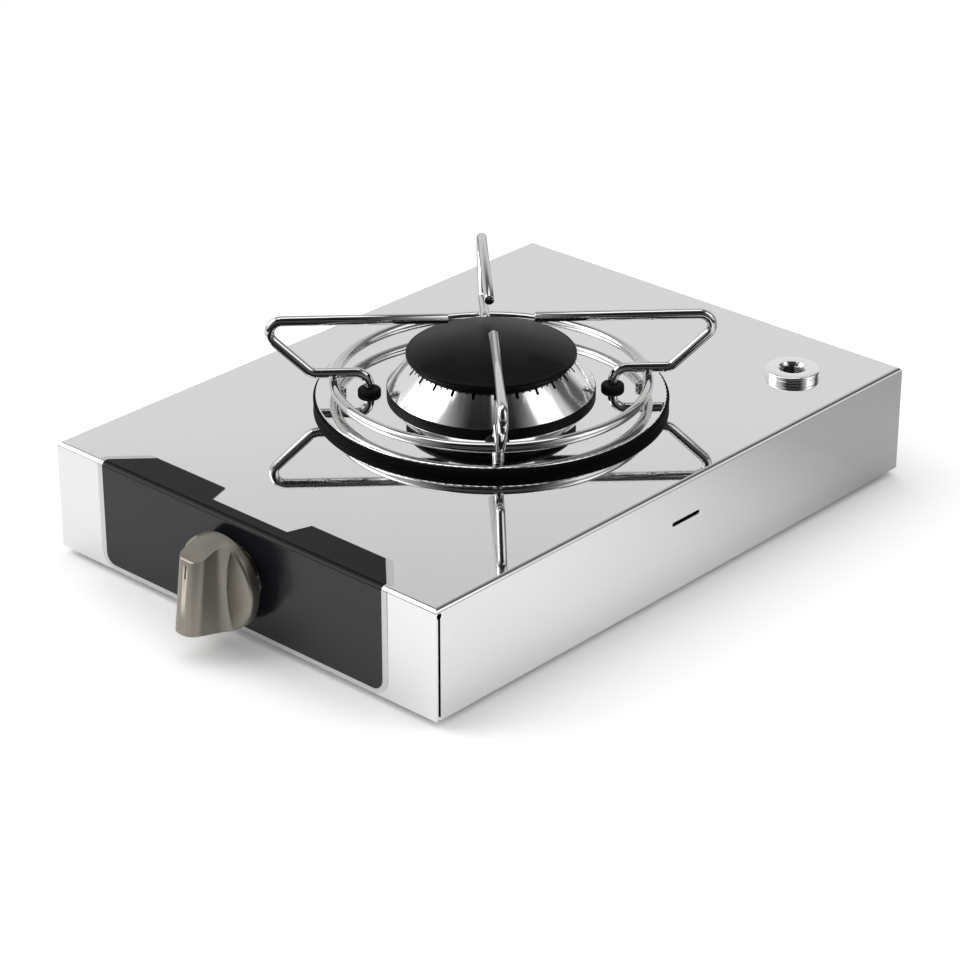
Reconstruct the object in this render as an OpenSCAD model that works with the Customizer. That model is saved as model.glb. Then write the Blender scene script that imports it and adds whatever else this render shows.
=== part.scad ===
// Single-burner tabletop gas hob. A folded sheet housing carries a round burner plate on
// a black gasket, a lift-off wire pan support, and a tapered gas tap behind the front wall.
// The housing is one folded sheet, kept as its top, walls and flanges.
// Millimetres. +Z is up, the front wall faces -Y, and Z = 0 is the underside of the feet.

/* [Housing] */
// Width over the side walls
body_w = 217.5; // [210:0.5:240]
// Depth from the front wall to the back wall
body_d = 300; // [295:1:330]
// Height of the folded housing
body_h = 48.8; // [48:0.1:56]
// Thickness of the housing sheet
sheet = 1; // [0.8:0.1:1]
// Outside radius of the folded top edges
fold_r = 2; // [1.6:0.1:3]
// Width of the flanges turned in along the bottom
flange_w = 12; // [10:0.5:14]
// Open seam between the front wall and each side wall
seam_gap = 1.3; // [0.8:0.1:2]
// Length of the slot in each side wall
side_slot_l = 17.5; // [10:0.5:30]
// Height of that slot
side_slot_h = 1.9; // [1.2:0.1:3]
// Height of that slot above the bottom of the housing
side_slot_z = 31.3; // [20:0.1:38]

/* [Base plate] */
// Thickness of the base plate
base_t = 0.8; // [0.6:0.1:1.2]
// Distance from the housing's walls to the edge of the base plate
base_inset = 3; // [1:0.5:3.5]
// Height of the feet below the base plate
foot_h = 2.5; // [2.2:0.1:5]
// Radius of a foot
foot_r = 9; // [7:0.5:12]
// Distance from a side wall to the middle of a foot
foot_side = 26.75; // [24.75:0.25:38.75]
// Distance from the front or back wall to the middle of a foot
foot_end = 28; // [26:1:50]
// Width of the air gap between the two base plates
air_gap = 14; // [10:0.5:24]

/* [Burner plate] */
// Burner axis, across the hob
burner_x = -2.5; // [-6:0.5:6]
// Burner axis, along the hob from the middle of the housing
burner_y = 3.5; // [-5:0.5:10]
// Distance from the middle of the ring's wire to the plate's edge
plate_rim = 8.1; // [6.5:0.1:12]
// Thickness of the round plate
plate_t = 1; // [0.8:0.1:1.5]
// Thickness of the gasket below it
gasket_t = 3.45; // [2.5:0.05:5]
// Distance from the gasket's hole to the plate's screws
screw_space = 5.2; // [4:0.1:7]

/* [Pan support] */
// Diameter of the wire
wire_d = 4.4; // [4:0.1:4.6]
// Distance from the legs to the middle of the ring's wire
ring_out = 15.1; // [13.7:0.1:17]
// Height of the ring's middle above the burner plate
ring_z = 5.35; // [5.2:0.05:7]
// Height of the arms' top wire above the burner plate
arm_top_z = 34.05; // [32:0.05:40]
// Distance of the arms' cut ends from the burner axis
arm_in_r = 18.4; // [14:0.1:24]
// Clear space between the crown's foot and the leg sockets
leg_space = 2.25; // [1.45:0.05:4]

/* [Burner] */
// Radius of the crown at its foot
crown_r = 45; // [44:0.1:46]
// Height of the crown above the burner plate
crown_h = 14.4; // [13:0.1:16]
// Radius of the crown at its top
crown_top_r = 34.4; // [34:0.1:35]
// Height of the black ring that the crown stands on
foot_ring_h = 2.35; // [2:0.05:3]
// Number of flame slots
slots = 24; // [12:1:30]
// Width of a flame slot
slot_w = 1.3; // [0.8:0.1:1.8]
// Overhang of the cap's rim over its seat
cap_rim = 2.1; // [1.4:0.1:5.4]
// Height of the cap above the crown
cap_h = 10.3; // [9:0.1:12]

/* [Gas inlet] */
// Distance from the right wall to the inlet's axis
inlet_side = 31.75; // [28.75:0.25:38.75]
// Distance from the back wall to the inlet's axis
inlet_end = 38; // [32:0.5:60]
// Radius of the inlet's flange
inlet_r = 12.1; // [11:0.1:14]
// Height of the flange above the top surface
inlet_h = 3.2; // [2.5:0.1:5]
// Radius of the tapped hole
inlet_hole_r = 4.28; // [4:0.01:5]

/* [Knob and tap] */
// Height of the tap's axis above the bottom of the housing
tap_h = 24.4; // [24:0.1:25]
// Radius of the knob's skirt
knob_r = 20.6; // [19:0.1:22]
// Gap between the knob and the front wall
knob_gap = 5.6; // [5:0.1:7]
// Thickness of the knob's skirt
skirt_t = 4.7; // [4:0.1:6]
// Half the width of the grip bar
grip_w = 6.5; // [6:0.1:8]
// Distance from the front wall to the middle of the knob's face
face_out = 27.5; // [26:0.1:29]
// Rise of the face towards the lower end of the grip
face_slope = 0.13; // [0:0.01:0.2]
// Rise of the grip's lower end towards its face
grip_taper = 0.25; // [0:0.01:0.3]
// Turn of the tap from off to low flame
tap_turn = 210; // [180:1:210]
// Travel of the knob when it is pushed in
tap_push = 3; // [2:0.1:3]

/* [Control panel film] */
// Half the width of the charcoal field
film_w = 80; // [60:1:84]
// Width of the silver edge around it
film_edge = 3; // [1:0.1:4]
// Reach of the film over the top surface
film_reach = 18; // [14:0.5:24]
// Thickness of each film layer
film_t = 0.2; // [0.1:0.05:0.4]

/* [View] */
// Sub-part to show

/* [Hidden] */
$fn = 96;
play = 0.05;
gap = 0.3;
eps = 1;
bottom_z = foot_h + base_t;
top_z = bottom_z + body_h;
fold_low = top_z - fold_r;
plate_h = gasket_t + plate_t;
plate_z = top_z + plate_h;
tap_z = bottom_z + tap_h;
// the grip's lower front corner is the furthest point in front of the housing
skirt_z = knob_gap + skirt_t;
knob_reach = (face_out + face_slope * (knob_r + grip_taper * skirt_z))
  / (1 + face_slope * grip_taper);
mid_y = knob_reach / 2;
front_y = mid_y - body_d / 2;
wire_r = wire_d / 2;
foot_x = body_w / 2 - foot_side;
foot_y = body_d / 2 - foot_end;
inlet_x = body_w / 2 - inlet_side;
inlet_y = body_d / 2 - inlet_end;

// fasteners
base_screw_r = 1.45;
base_head_r = 3.2;
base_head_h = 1.6;
base_screw_l = 8;
base_screw_share = 0.8;
base_screw_in = 8;
plate_screw_d = 2.5;
plate_head_r = 2.15;
plate_head_h = 2.7;
plate_key_d = 2.3;
plate_key_h = 1.3;
plate_head_edge = 0.4;
screw_out = 1;
plate_nut_d = 5.77;
plate_nut_h = 2;
key_d = 2.6;
key_h = 0.9;
tap_screw_r = 1.5;
tap_screw_at = 12.5;
tap_head_r = 2.8;
tap_head_h = 1.8;
cover_screw_y = 7.5;
sink_h = 1.3;

// burner plate and what hangs under it
plate_edge = 0.5;
gasket_back = 0.3;
cup_z = plate_z - plate_t;
cup_flange_r = 34;
cup_flange_t = 3;
cup_wall = 2.7;
cup_depth = 20;
cup_floor = 3;
window_w = 10;
window_h = 8;
windows = 6;
window_up = 2;
nipple_r = 4;
nipple_h = 6.5;
jet_d = 7.2;
jet_h = 4;
jet_neck_r = 2.5;
jet_neck_h = 3;
jet_hole_r = 0.45;
jet_bore_r = 1.6;
holder_r = 7;

// rubber sockets of the legs
boot_head_r = 5.05;
boot_head_h = 1.6;
boot_edge = 1;
boot_neck_r = 3.75;
boot_depth = 6.5;
boot_floor = 1;
boot_space = 1.65;
legs_turn = 45;
leg_r = crown_r + leg_space + boot_head_r;
leg_end_z = -boot_depth;
ring_r = leg_r + ring_out;
plate_r = ring_r + plate_rim;
// the gasket and the housing's hole clear the sockets
gasket_in = leg_r + boot_head_r + boot_space;
plate_screw_r = gasket_in + screw_space;

// bends of an arm, middle of the wire
tip_bend_r = 5.35;
tip_out = 21.55;
tip_r = ring_r + tip_out;
tip_angle = 46;
weld = 0.2;
low_z = ring_z + wire_d - weld;
low_bend_r = 6;
leg_bend_r = 6;
tip_z = arm_top_z - tip_bend_r;
low_c = low_z + low_bend_r;
// the bends are a touch thicker, so that each straight run enters one through its flat end
bend_over = 0.03;
run_in = 0.15;
// the sloping run is tangent to both bends
low_r = tip_r + (tip_bend_r - low_bend_r + (low_c - tip_z) * sin(tip_angle)) / cos(tip_angle);

// crown, heights above the burner plate
throat_r = 9.5;
throat_out = 12.5;
throat_low = 7;
throat_top = 11.5;
floor_high = 6;
spigot_out = 24;
spigot_in = 21;
crown_foot_w = 4;
crown_in_r = crown_r - crown_foot_w;
chamber_wall = 7;
chamber_r = crown_r - chamber_wall;
lip_w = 3.9;
lip_r = crown_top_r - lip_w;
// the crown's spigot drops through the burner plate into the cup
plate_hole_gap = 1;
plate_hole_r = spigot_out + plate_hole_gap;
cup_in_r = spigot_out + gap;
cup_r = cup_in_r + cup_wall;
slot_depth = 2.3;
notch_w = 0.8;
notches = 3;
slot_l = 10;

// cap, heights above the crown
seat_over = 0.2;
seat_r = crown_top_r + seat_over;
cap_r = seat_r + cap_rim;
seat_h = 2.35;
rim_t = 2;
rim_edge = 0.8;
recess_r = 26;
recess_h = 4.5;
dome_sides = 720;
lug_r = lip_r - gap;
lug_w = 6;
lug_t = 2.5;
lug_h = 3;
lugs = 3;
lugs_turn = 30;

// pipes and their screwed joints
pipe_r = 3;
bore_r = 2;
thread_r = 5;
pipe_in = 5;
nut_d = 16.2;
nut_back = 5;
nut_front = 6;
olive_l = 2.5;
olive_r = 4.7;
olive_low_r = 4.2;
pipe_bend = 12;
joint_out = 13;

// inlet, depths below the top surface
stem_r = 8;
stem_l = 7.2;
tail_l = 6;
tail_top = 0.6;
washer_t = 1;
locknut_d = 25.4;
locknut_h = 4.5;
hole_depth = 9;
mouth_r = 6.35;
inlet_edge = 0.8;

// tap, distances inwards from the outer face of the front wall
shaft_r = 4;
shaft_gap = 2;
shaft_out = 20;
flat_at = 3;
flat_out = 8;
cover_t = 4;
cover_w = 34;
cover_h = 22;
cover_r = 2;
track_r = 8.2;
track_t = 2.5;
pin_r = 0.9;
pin_at = 4;
pin_len = 7.6;
pin_slack = 18;
track_end = 270;
body_at = sheet + cover_t;
tap_flange_t = 4;
chamber = 8.5;
barrel_r = 11;
collar_r = 7.5;
collar_t = 1.5;
seat_at = 22;
seat_end = 41;
seat_big = 6.6;
seat_small = 5;
tang_w = 7.6;
tang_t = 2;
tang_end = 29;
slot_end = tang_end + tap_push + eps;
port_at = 36.9;
port_r = 1.6;
barrel_end = 45;
outlet_at = 57;
inlet_out = 23;
collar_at = body_at + gap;
spring_at = collar_at + collar_t;
coil_r = 5.4;
coil_wire = 0.5;
coil_turns = 5;
coil_steps = 20;

// knob
skirt_edge = 1.2;
grip_edge = 3.2;
grip_fillet = 4.5;
draft = 0.05;
hub_r = 8;
skirt_wall = 2.2;
hollow_r = knob_r - skirt_wall;
hollow_t = 3;
mark_w = 0.9;
mark_l = 5.6;
mark_at = 12.5;
mark_t = 0.4;
mark_sunk = 0.1;
clip_w = 4;
clip_t = 0.5;
clip_l = 9;
face_angle = atan(face_slope);
taper_angle = atan(grip_taper);

// control panel film
film_low = 0.3;
film_field_low = 2.4;
film_corner = 5;
film_start = 3;
film_mid_in = 21.5;
film_mid_out = 25.5;
film_mid_y = 7;
film_gap = 0.5;
film_window = tap_screw_at + tap_head_r + film_gap;
film_edge_start = 1.2;
film_edge_back = 0.6;

steel = [0.82, 0.83, 0.84];
satin = [0.62, 0.60, 0.57];
brass = [0.80, 0.66, 0.36];
copper = [0.78, 0.48, 0.34];
zinc = [0.70, 0.72, 0.74];
black = [0.05, 0.05, 0.06];
charcoal = [0.10, 0.10, 0.11];
silver = [0.75, 0.75, 0.76];

// ---- places ----

// middle of the housing, on the floor
module at_body() {
  translate([0, mid_y, 0]) children();
}

// burner axis, on the burner plate
module at_burner() {
  translate([burner_x, mid_y + burner_y, plate_z]) children();
}

// tap axis on the front wall's outer face, local +Z inwards
module at_tap() {
  translate([burner_x, front_y, tap_z]) rotate([-90, 0, 0]) children();
}

// the same point, local +Z outwards and +Y up
module at_knob() {
  translate([burner_x, front_y, tap_z]) rotate([90, 0, 0]) children();
}

// inlet axis, on the top surface
module at_inlet() {
  translate([inlet_x, mid_y + inlet_y, top_z]) children();
}

module four_corners(x, y) {
  for (i = [-1, 1], j = [-1, 1]) translate([i * x, j * y, 0]) children();
}

module around(count, r, start = 0) {
  for (i = [0:count - 1]) rotate([0, 0, start + i * 360 / count]) translate([r, 0, 0]) children();
}

// end faces of the four screwed pipe joints, local +Z along the pipe
module at_pipe_joints() {
  translate([burner_x + inlet_out, front_y + port_at, tap_z]) rotate([0, 90, 0]) children();
  translate([burner_x, front_y + outlet_at, tap_z]) rotate([-90, 0, 0]) children();
  translate([burner_x, mid_y + burner_y - joint_out, tap_z]) rotate([90, 0, 0]) children();
  translate([inlet_x, mid_y + inlet_y - joint_out, tap_z]) rotate([90, 0, 0]) children();
}

// ---- shapes ----

module ring(r_out, r_in, h) {
  difference() {
    cylinder(r = r_out, h = h);
    translate([0, 0, -eps]) cylinder(r = r_in, h = h + 2 * eps);
  }
}

// upright disc with a rounded top edge
module soft_disc(r, h, edge) {
  rotate_extrude() {
    square([r - edge, h]);
    square([r, h - edge]);
    translate([r - edge, h - edge]) intersection() {
      circle(edge);
      square(edge);
    }
  }
}

// arch: straight sides, rounded upper corners
module arch(w, low, high, r) {
  translate([-w / 2, low]) square([w, high - r - low]);
  translate([r - w / 2, low]) square([w - 2 * r, high - low]);
  for (i = [-1, 1]) translate([i * (w / 2 - r), high - r]) circle(r);
}

// block with all four top edges folded over
module folded_block(w, d, low, high, r) {
  intersection() {
    rotate([90, 0, 0]) linear_extrude(d, center = true) arch(w, low, high, r);
    rotate([90, 0, 90]) linear_extrude(w, center = true) arch(d, low, high, r);
  }
}

module rounded_plate(w, h, r) {
  square([w - 2 * r, h], center = true);
  square([w, h - 2 * r], center = true);
  for (i = [-1, 1], j = [-1, 1]) translate([i * (w / 2 - r), j * (h / 2 - r)]) circle(r);
}

// ---- housing ----

module plate_screw_holes(h) {
  around(4, plate_screw_r, legs_turn) cylinder(d = plate_screw_d + 2 * play, h = h);
}

module side_slot() {
  end = side_slot_h / 2;
  rotate([0, 90, 0]) linear_extrude(sheet + 2 * eps) {
    square([side_slot_h, side_slot_l - side_slot_h], center = true);
    for (i = [-1, 1]) translate([0, i * (side_slot_l / 2 - end)]) circle(end);
  }
}

// round relief at the top of each open seam
module seam_reliefs() {
  for (i = [-1, 1]) translate([i * (body_w - sheet) / 2, sheet + seam_gap / 2 - body_d / 2, fold_low - eps])
    rotate([0, 90, 0]) cylinder(r = seam_gap, h = sheet + eps, center = true);
}

module top_sheet() {
  color(steel) difference() {
    at_body() difference() {
      folded_block(body_w, body_d, fold_low - eps, top_z, fold_r);
      folded_block(body_w - 2 * sheet, body_d - 2 * sheet, fold_low - 2 * eps, top_z - sheet,
        fold_r - sheet);
      translate([0, 0, fold_low - 2 * eps]) cube([2 * body_w, 2 * body_d, 4 * eps], center = true);
      seam_reliefs();
    }
    at_burner() translate([0, 0, -plate_h - 2 * sheet]) {
      cylinder(r = gasket_in, h = 3 * sheet);
      plate_screw_holes(3 * sheet);
    }
    at_inlet() translate([0, 0, -2 * sheet]) cylinder(r = stem_r + 3 * play, h = 3 * sheet);
  }
}

module front_wall() {
  color(steel) difference() {
    at_body() difference() {
      translate([-body_w / 2, -body_d / 2, bottom_z]) cube([body_w, sheet, fold_low - bottom_z]);
      seam_reliefs();
    }
    at_tap() translate([0, 0, -eps]) {
      cylinder(r = shaft_r + shaft_gap, h = sheet + 2 * eps);
      for (i = [-1, 1]) translate([i * tap_screw_at, 0, 0])
        cylinder(r = tap_screw_r + play, h = sheet + 2 * eps);
    }
  }
}

module back_wall() {
  w = body_w - 2 * sheet;
  color(steel) at_body() translate([-w / 2, body_d / 2 - sheet, bottom_z])
    cube([w, sheet, fold_low - bottom_z]);
}

// side = -1 for the left wall, 1 for the right one
module side_wall(side) {
  from = sheet + seam_gap;
  color(steel) at_body() difference() {
    translate([side * (body_w - sheet) / 2 - sheet / 2, from - body_d / 2, bottom_z])
      cube([sheet, body_d - from, fold_low - bottom_z]);
    translate([side * (body_w - sheet) / 2 - sheet / 2 - eps, 0, bottom_z + side_slot_z]) side_slot();
    seam_reliefs();
  }
}

module left_wall() {
  side_wall(-1);
}

module right_wall() {
  side_wall(1);
}

// strips turned in along the bottom of each wall
module bottom_flanges() {
  w = body_w - 2 * sheet;
  strip = flange_w - sheet;
  side_l = body_d - 2 * flange_w - 2 * gap;
  color(steel) at_body() difference() {
    translate([0, 0, bottom_z]) {
      for (j = [-1, 1]) translate([-w / 2, j * (body_d / 2 - sheet - strip / 2) - strip / 2, 0])
        cube([w, strip, sheet]);
      for (i = [-1, 1]) translate([i * (w / 2 - strip / 2) - strip / 2, -side_l / 2, 0])
        cube([strip, side_l, sheet]);
    }
    base_screw_places() cylinder(r = base_screw_r + play, h = bottom_z + 2 * sheet);
  }
}

module base_screw_places() {
  x = (body_w - flange_w) / 2;
  y = (body_d - flange_w) / 2;
  four_corners(x, base_screw_share * y) children();
  for (j = [-1, 1]) translate([0, j * y, 0]) children();
  for (i = [-1, 1], j = [-1, 1])
    translate([i * x, burner_y + j * (air_gap / 2 + base_screw_in), 0]) children();
}

// front and rear half, with the air gap of the burner between them
module base_plates() {
  w = body_w - 2 * base_inset;
  half_d = body_d / 2 - base_inset;
  front_l = half_d + burner_y - air_gap / 2;
  rear_l = half_d - burner_y - air_gap / 2;
  color(zinc) at_body() difference() {
    translate([-w / 2, 0, foot_h]) {
      translate([0, -half_d, 0]) cube([w, front_l, base_t]);
      translate([0, half_d - rear_l, 0]) cube([w, rear_l, base_t]);
    }
    base_screw_places() cylinder(r = base_screw_r + play, h = bottom_z + eps);
    four_corners(foot_x, foot_y) cylinder(r = foot_r / 2 + play, h = bottom_z + eps);
  }
}

module base_screws() {
  color(zinc) at_body() base_screw_places() {
    translate([0, 0, foot_h - base_head_h]) cylinder(r = base_head_r, h = base_head_h);
    translate([0, 0, foot_h]) cylinder(r = base_screw_r, h = base_screw_l);
  }
}

module rubber_feet() {
  bead_h = 1.5;
  bead_r = foot_r / 2 + 1;
  draft_r = 1;
  color(black) at_body() four_corners(foot_x, foot_y) {
    cylinder(r1 = foot_r - draft_r, r2 = foot_r, h = foot_h);
    cylinder(r = foot_r / 2, h = bottom_z + bead_h);
    translate([0, 0, bottom_z]) cylinder(r = bead_r, h = bead_h);
  }
}

module film(low, outset, half_w, corner, side) {
  top = top_z + eps;
  y = -body_d / 2;
  difference() {
    intersection() {
      rotate([90, 0, 90]) linear_extrude(2 * half_w, center = true) difference() {
        arch(body_d + 2 * (outset + film_t), 0, top_z + outset + film_t, fold_r + outset + film_t);
        arch(body_d + 2 * outset, -eps, top_z + outset, fold_r + outset);
      }
      union() {
        translate([0, y + fold_r, 0]) rotate([90, 0, 0]) linear_extrude(fold_r + eps) {
          translate([-half_w, low + corner]) square([2 * half_w, top - low - corner]);
          translate([corner - half_w, low]) square([2 * (half_w - corner), corner + eps]);
          for (i = [-1, 1]) translate([i * (half_w - corner), low + corner]) circle(corner);
        }
        translate([0, y, top_z - fold_r]) linear_extrude(fold_r + eps) polygon(side);
      }
    }
    translate([burner_x, y + eps, tap_z]) rotate([90, 0, 0]) cylinder(r = film_window, h = 3 * eps);
    translate([0, y, top_z - fold_r]) linear_extrude(fold_r + 2 * eps)
      polygon([[-film_mid_in, film_mid_y], [film_mid_in, film_mid_y],
        [film_mid_out, film_reach + eps], [-film_mid_out, film_reach + eps]]);
  }
}

// outline of the flap on the top surface: straight sides, corners cut at 45 degrees
function flap(w, start, reach) = [[-w, 0], [w, 0], [w, start], [w - reach + start, reach],
  [-w + reach - start, reach], [-w, start]];

module label_border() {
  w = film_w + film_edge;
  color(silver) at_body() film(bottom_z + film_low, 0, w, film_corner + film_edge,
    flap(w, film_start + film_edge_start, film_reach));
}

module label_panel() {
  color(charcoal) at_body() film(bottom_z + film_field_low, film_t, film_w, film_corner,
    flap(film_w, film_start, film_reach - film_edge_back));
}

// ---- burner plate and cup ----

module plate_gasket() {
  color(black) at_burner() translate([0, 0, -plate_h]) difference() {
    ring(plate_r - gasket_back, gasket_in, gasket_t);
    translate([0, 0, -eps]) plate_screw_holes(gasket_t + 2 * eps);
  }
}

module burner_plate() {
  color(steel) at_burner() translate([0, 0, -plate_t]) difference() {
    soft_disc(plate_r, plate_t, plate_edge);
    translate([0, 0, -eps]) {
      cylinder(r = plate_hole_r, h = plate_t + 2 * eps);
      around(4, leg_r, legs_turn) cylinder(r = boot_neck_r + play, h = plate_t + 2 * eps);
      plate_screw_holes(plate_t + 2 * eps);
    }
  }
}

module plate_screws() {
  under = plate_h + sheet + plate_nut_h;
  color(zinc) at_burner() around(4, plate_screw_r, legs_turn) difference() {
    union() {
      soft_disc(plate_head_r, plate_head_h, plate_head_edge);
      translate([0, 0, -under - screw_out]) cylinder(d = plate_screw_d, h = under + screw_out);
    }
    translate([0, 0, plate_head_h - plate_key_h])
      cylinder(d = plate_key_d, h = plate_key_h + eps, $fn = 6);
  }
}

module plate_nuts() {
  color(zinc) at_burner() around(4, plate_screw_r, legs_turn)
    translate([0, 0, -plate_h - sheet - plate_nut_h]) difference() {
      cylinder(d = plate_nut_d, h = plate_nut_h, $fn = 6);
      translate([0, 0, -eps]) cylinder(d = plate_screw_d + 2 * play, h = plate_nut_h + 2 * eps);
    }
}

module leg_grommets() {
  color(black) at_burner() around(4, leg_r, legs_turn) difference() {
    union() {
      soft_disc(boot_head_r, boot_head_h, boot_edge);
      translate([0, 0, -plate_t]) cylinder(r = boot_neck_r, h = plate_t);
      translate([0, 0, -boot_depth - boot_floor])
        cylinder(r = boot_head_r, h = boot_depth + boot_floor - plate_t);
    }
    translate([0, 0, -boot_depth]) cylinder(r = wire_r + play, h = boot_depth + 2 * boot_head_h);
  }
}

module burner_cup() {
  color(zinc) at_burner() translate([0, 0, -plate_t]) difference() {
    union() {
      translate([0, 0, -cup_flange_t]) cylinder(r = cup_flange_r, h = cup_flange_t);
      translate([0, 0, -cup_depth]) cylinder(r = cup_r, h = cup_depth);
    }
    translate([0, 0, cup_floor - cup_depth]) cylinder(r = cup_in_r, h = cup_depth);
    translate([0, 0, -cup_depth - eps]) cylinder(r = nipple_r + play, h = cup_floor + 2 * eps);
    around(windows, cup_r) translate([0, 0, -cup_depth + cup_floor + window_up + window_h / 2])
      cube([cup_r, window_w, window_h], center = true);
  }
}

module injector_holder() {
  cup_low = cup_z - cup_depth;
  low = tap_z - holder_r;
  color(brass) translate([burner_x, mid_y + burner_y, 0]) difference() {
    union() {
      translate([0, 0, low]) cylinder(r = holder_r, h = cup_low - low);
      translate([0, 0, cup_low]) cylinder(r = nipple_r, h = nipple_h);
      translate([0, 0, tap_z]) rotate([90, 0, 0]) cylinder(r = thread_r, h = joint_out);
    }
    translate([0, 0, tap_z]) cylinder(r = bore_r, h = cup_low + nipple_h - tap_z + eps);
    translate([0, 0, cup_low + nipple_h - jet_neck_h])
      cylinder(r = jet_neck_r, h = jet_neck_h + eps);
    translate([0, 0, tap_z]) rotate([90, 0, 0]) cylinder(r = bore_r, h = joint_out);
    translate([0, -joint_out + pipe_in, tap_z]) rotate([90, 0, 0])
      cylinder(r = pipe_r + play, h = pipe_in + eps);
  }
}

module injector_jet() {
  low = cup_z - cup_depth + nipple_h;
  color(brass) translate([burner_x, mid_y + burner_y, low]) difference() {
    union() {
      cylinder(d = jet_d, h = jet_h, $fn = 6);
      translate([0, 0, -jet_neck_h]) cylinder(r = jet_neck_r, h = jet_neck_h);
    }
    translate([0, 0, -jet_neck_h - eps]) cylinder(r = jet_bore_r, h = jet_neck_h + jet_h);
    cylinder(r = jet_hole_r, h = jet_h + eps);
  }
}

// ---- pipes ----

module burner_pipe() {
  from = front_y + outlet_at - pipe_in;
  to = mid_y + burner_y - joint_out + pipe_in;
  color(copper) translate([burner_x, from, tap_z]) rotate([-90, 0, 0])
    ring(pipe_r, bore_r, to - from);
}

module feed_path(r, extra) {
  start_y = mid_y + inlet_y - joint_out + pipe_in;
  bend_x = inlet_x - pipe_bend;
  bend_y = front_y + port_at + pipe_bend;
  end_x = burner_x + inlet_out - pipe_in;
  translate([inlet_x, bend_y, tap_z]) rotate([-90, 0, 0])
    cylinder(r = r, h = start_y - bend_y + extra);
  translate([bend_x, bend_y, tap_z]) rotate([0, 0, -90]) rotate_extrude(angle = 90)
    translate([pipe_bend, 0]) circle(r);
  translate([end_x - extra, front_y + port_at, tap_z]) rotate([0, 90, 0])
    cylinder(r = r, h = bend_x - end_x + extra);
}

module feed_pipe() {
  color(copper) difference() {
    feed_path(pipe_r, 0);
    feed_path(bore_r, eps);
  }
}

module pipe_nuts() {
  color(brass) at_pipe_joints() difference() {
    translate([0, 0, -nut_back]) cylinder(d = nut_d, h = nut_back + nut_front, $fn = 6);
    translate([0, 0, -nut_back - eps]) cylinder(r = thread_r + play, h = nut_back + olive_l + eps);
    cylinder(r = pipe_r + play, h = nut_front + eps);
  }
}

module pipe_olives() {
  color(brass) at_pipe_joints() rotate_extrude() polygon([[pipe_r, 0], [olive_low_r, 0],
    [olive_r, olive_l / 2], [olive_low_r, olive_l], [pipe_r, olive_l]]);
}

// ---- gas inlet ----

module inlet_boss() {
  color(steel) at_inlet() difference() {
    union() {
      soft_disc(inlet_r, inlet_h, inlet_edge);
      translate([0, 0, -stem_l]) cylinder(r = stem_r, h = stem_l);
      translate([0, 0, -stem_l - tail_l]) cylinder(r = thread_r, h = tail_l);
    }
    translate([0, 0, inlet_h - hole_depth]) cylinder(r = inlet_hole_r, h = hole_depth + eps);
    translate([0, 0, inlet_h - mouth_r + inlet_hole_r])
      cylinder(r1 = inlet_hole_r, r2 = mouth_r, h = mouth_r - inlet_hole_r);
    translate([0, 0, -stem_l - tail_l - eps]) cylinder(r = bore_r, h = stem_l + tail_l);
  }
}

module inlet_washer() {
  color(copper) at_inlet() translate([0, 0, -sheet - washer_t]) ring(inlet_r, stem_r + play, washer_t);
}

module inlet_locknut() {
  color(brass) at_inlet() translate([0, 0, -sheet - washer_t - locknut_h]) difference() {
    cylinder(d = locknut_d, h = locknut_h, $fn = 6);
    translate([0, 0, -eps]) cylinder(r = stem_r + play, h = locknut_h + 2 * eps);
  }
}

module inlet_elbow() {
  top = -stem_l - tail_top;
  axis = tap_z - top_z;
  low = axis - holder_r;
  color(brass) at_inlet() difference() {
    union() {
      translate([0, 0, low]) cylinder(r = holder_r, h = top - low);
      translate([0, 0, axis]) rotate([90, 0, 0]) cylinder(r = thread_r, h = joint_out);
    }
    translate([0, 0, axis]) cylinder(r = bore_r, h = top - axis + eps);
    translate([0, 0, -stem_l - tail_l]) cylinder(r = thread_r + play, h = tail_l);
    translate([0, 0, axis]) rotate([90, 0, 0]) cylinder(r = bore_r, h = joint_out);
    translate([0, -joint_out + pipe_in, axis]) rotate([90, 0, 0])
      cylinder(r = pipe_r + play, h = pipe_in + eps);
  }
}

// ---- tap ----

module cover_outline() {
  rounded_plate(cover_w, cover_h, cover_r);
}

module tap_body() {
  color(brass) at_tap() difference() {
    union() {
      translate([0, 0, body_at]) linear_extrude(tap_flange_t) cover_outline();
      translate([0, 0, body_at]) cylinder(r = barrel_r, h = barrel_end - body_at);
      translate([0, 0, barrel_end]) cylinder(r = thread_r, h = outlet_at - barrel_end);
      translate([0, 0, port_at]) rotate([0, 90, 0]) cylinder(r = thread_r, h = inlet_out);
    }
    translate([0, 0, body_at - eps]) cylinder(r = chamber, h = seat_at - body_at + eps);
    translate([0, 0, seat_at]) cylinder(r1 = seat_big, r2 = seat_small, h = seat_end - seat_at);
    translate([0, 0, seat_end - eps]) cylinder(r = bore_r, h = outlet_at - seat_end + eps);
    translate([0, 0, outlet_at - pipe_in]) cylinder(r = pipe_r + play, h = pipe_in + eps);
    translate([0, 0, port_at]) rotate([0, 90, 0]) cylinder(r = port_r, h = inlet_out);
    translate([inlet_out - pipe_in, 0, port_at]) rotate([0, 90, 0])
      cylinder(r = pipe_r + play, h = pipe_in + eps);
    for (i = [-1, 1]) {
      translate([i * tap_screw_at, 0, body_at - eps]) cylinder(r = tap_screw_r, h = 2 * body_at);
      translate([i * tap_screw_at, i * cover_screw_y, body_at - eps])
        cylinder(r = tap_screw_r, h = 2 * body_at);
    }
  }
}

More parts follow.
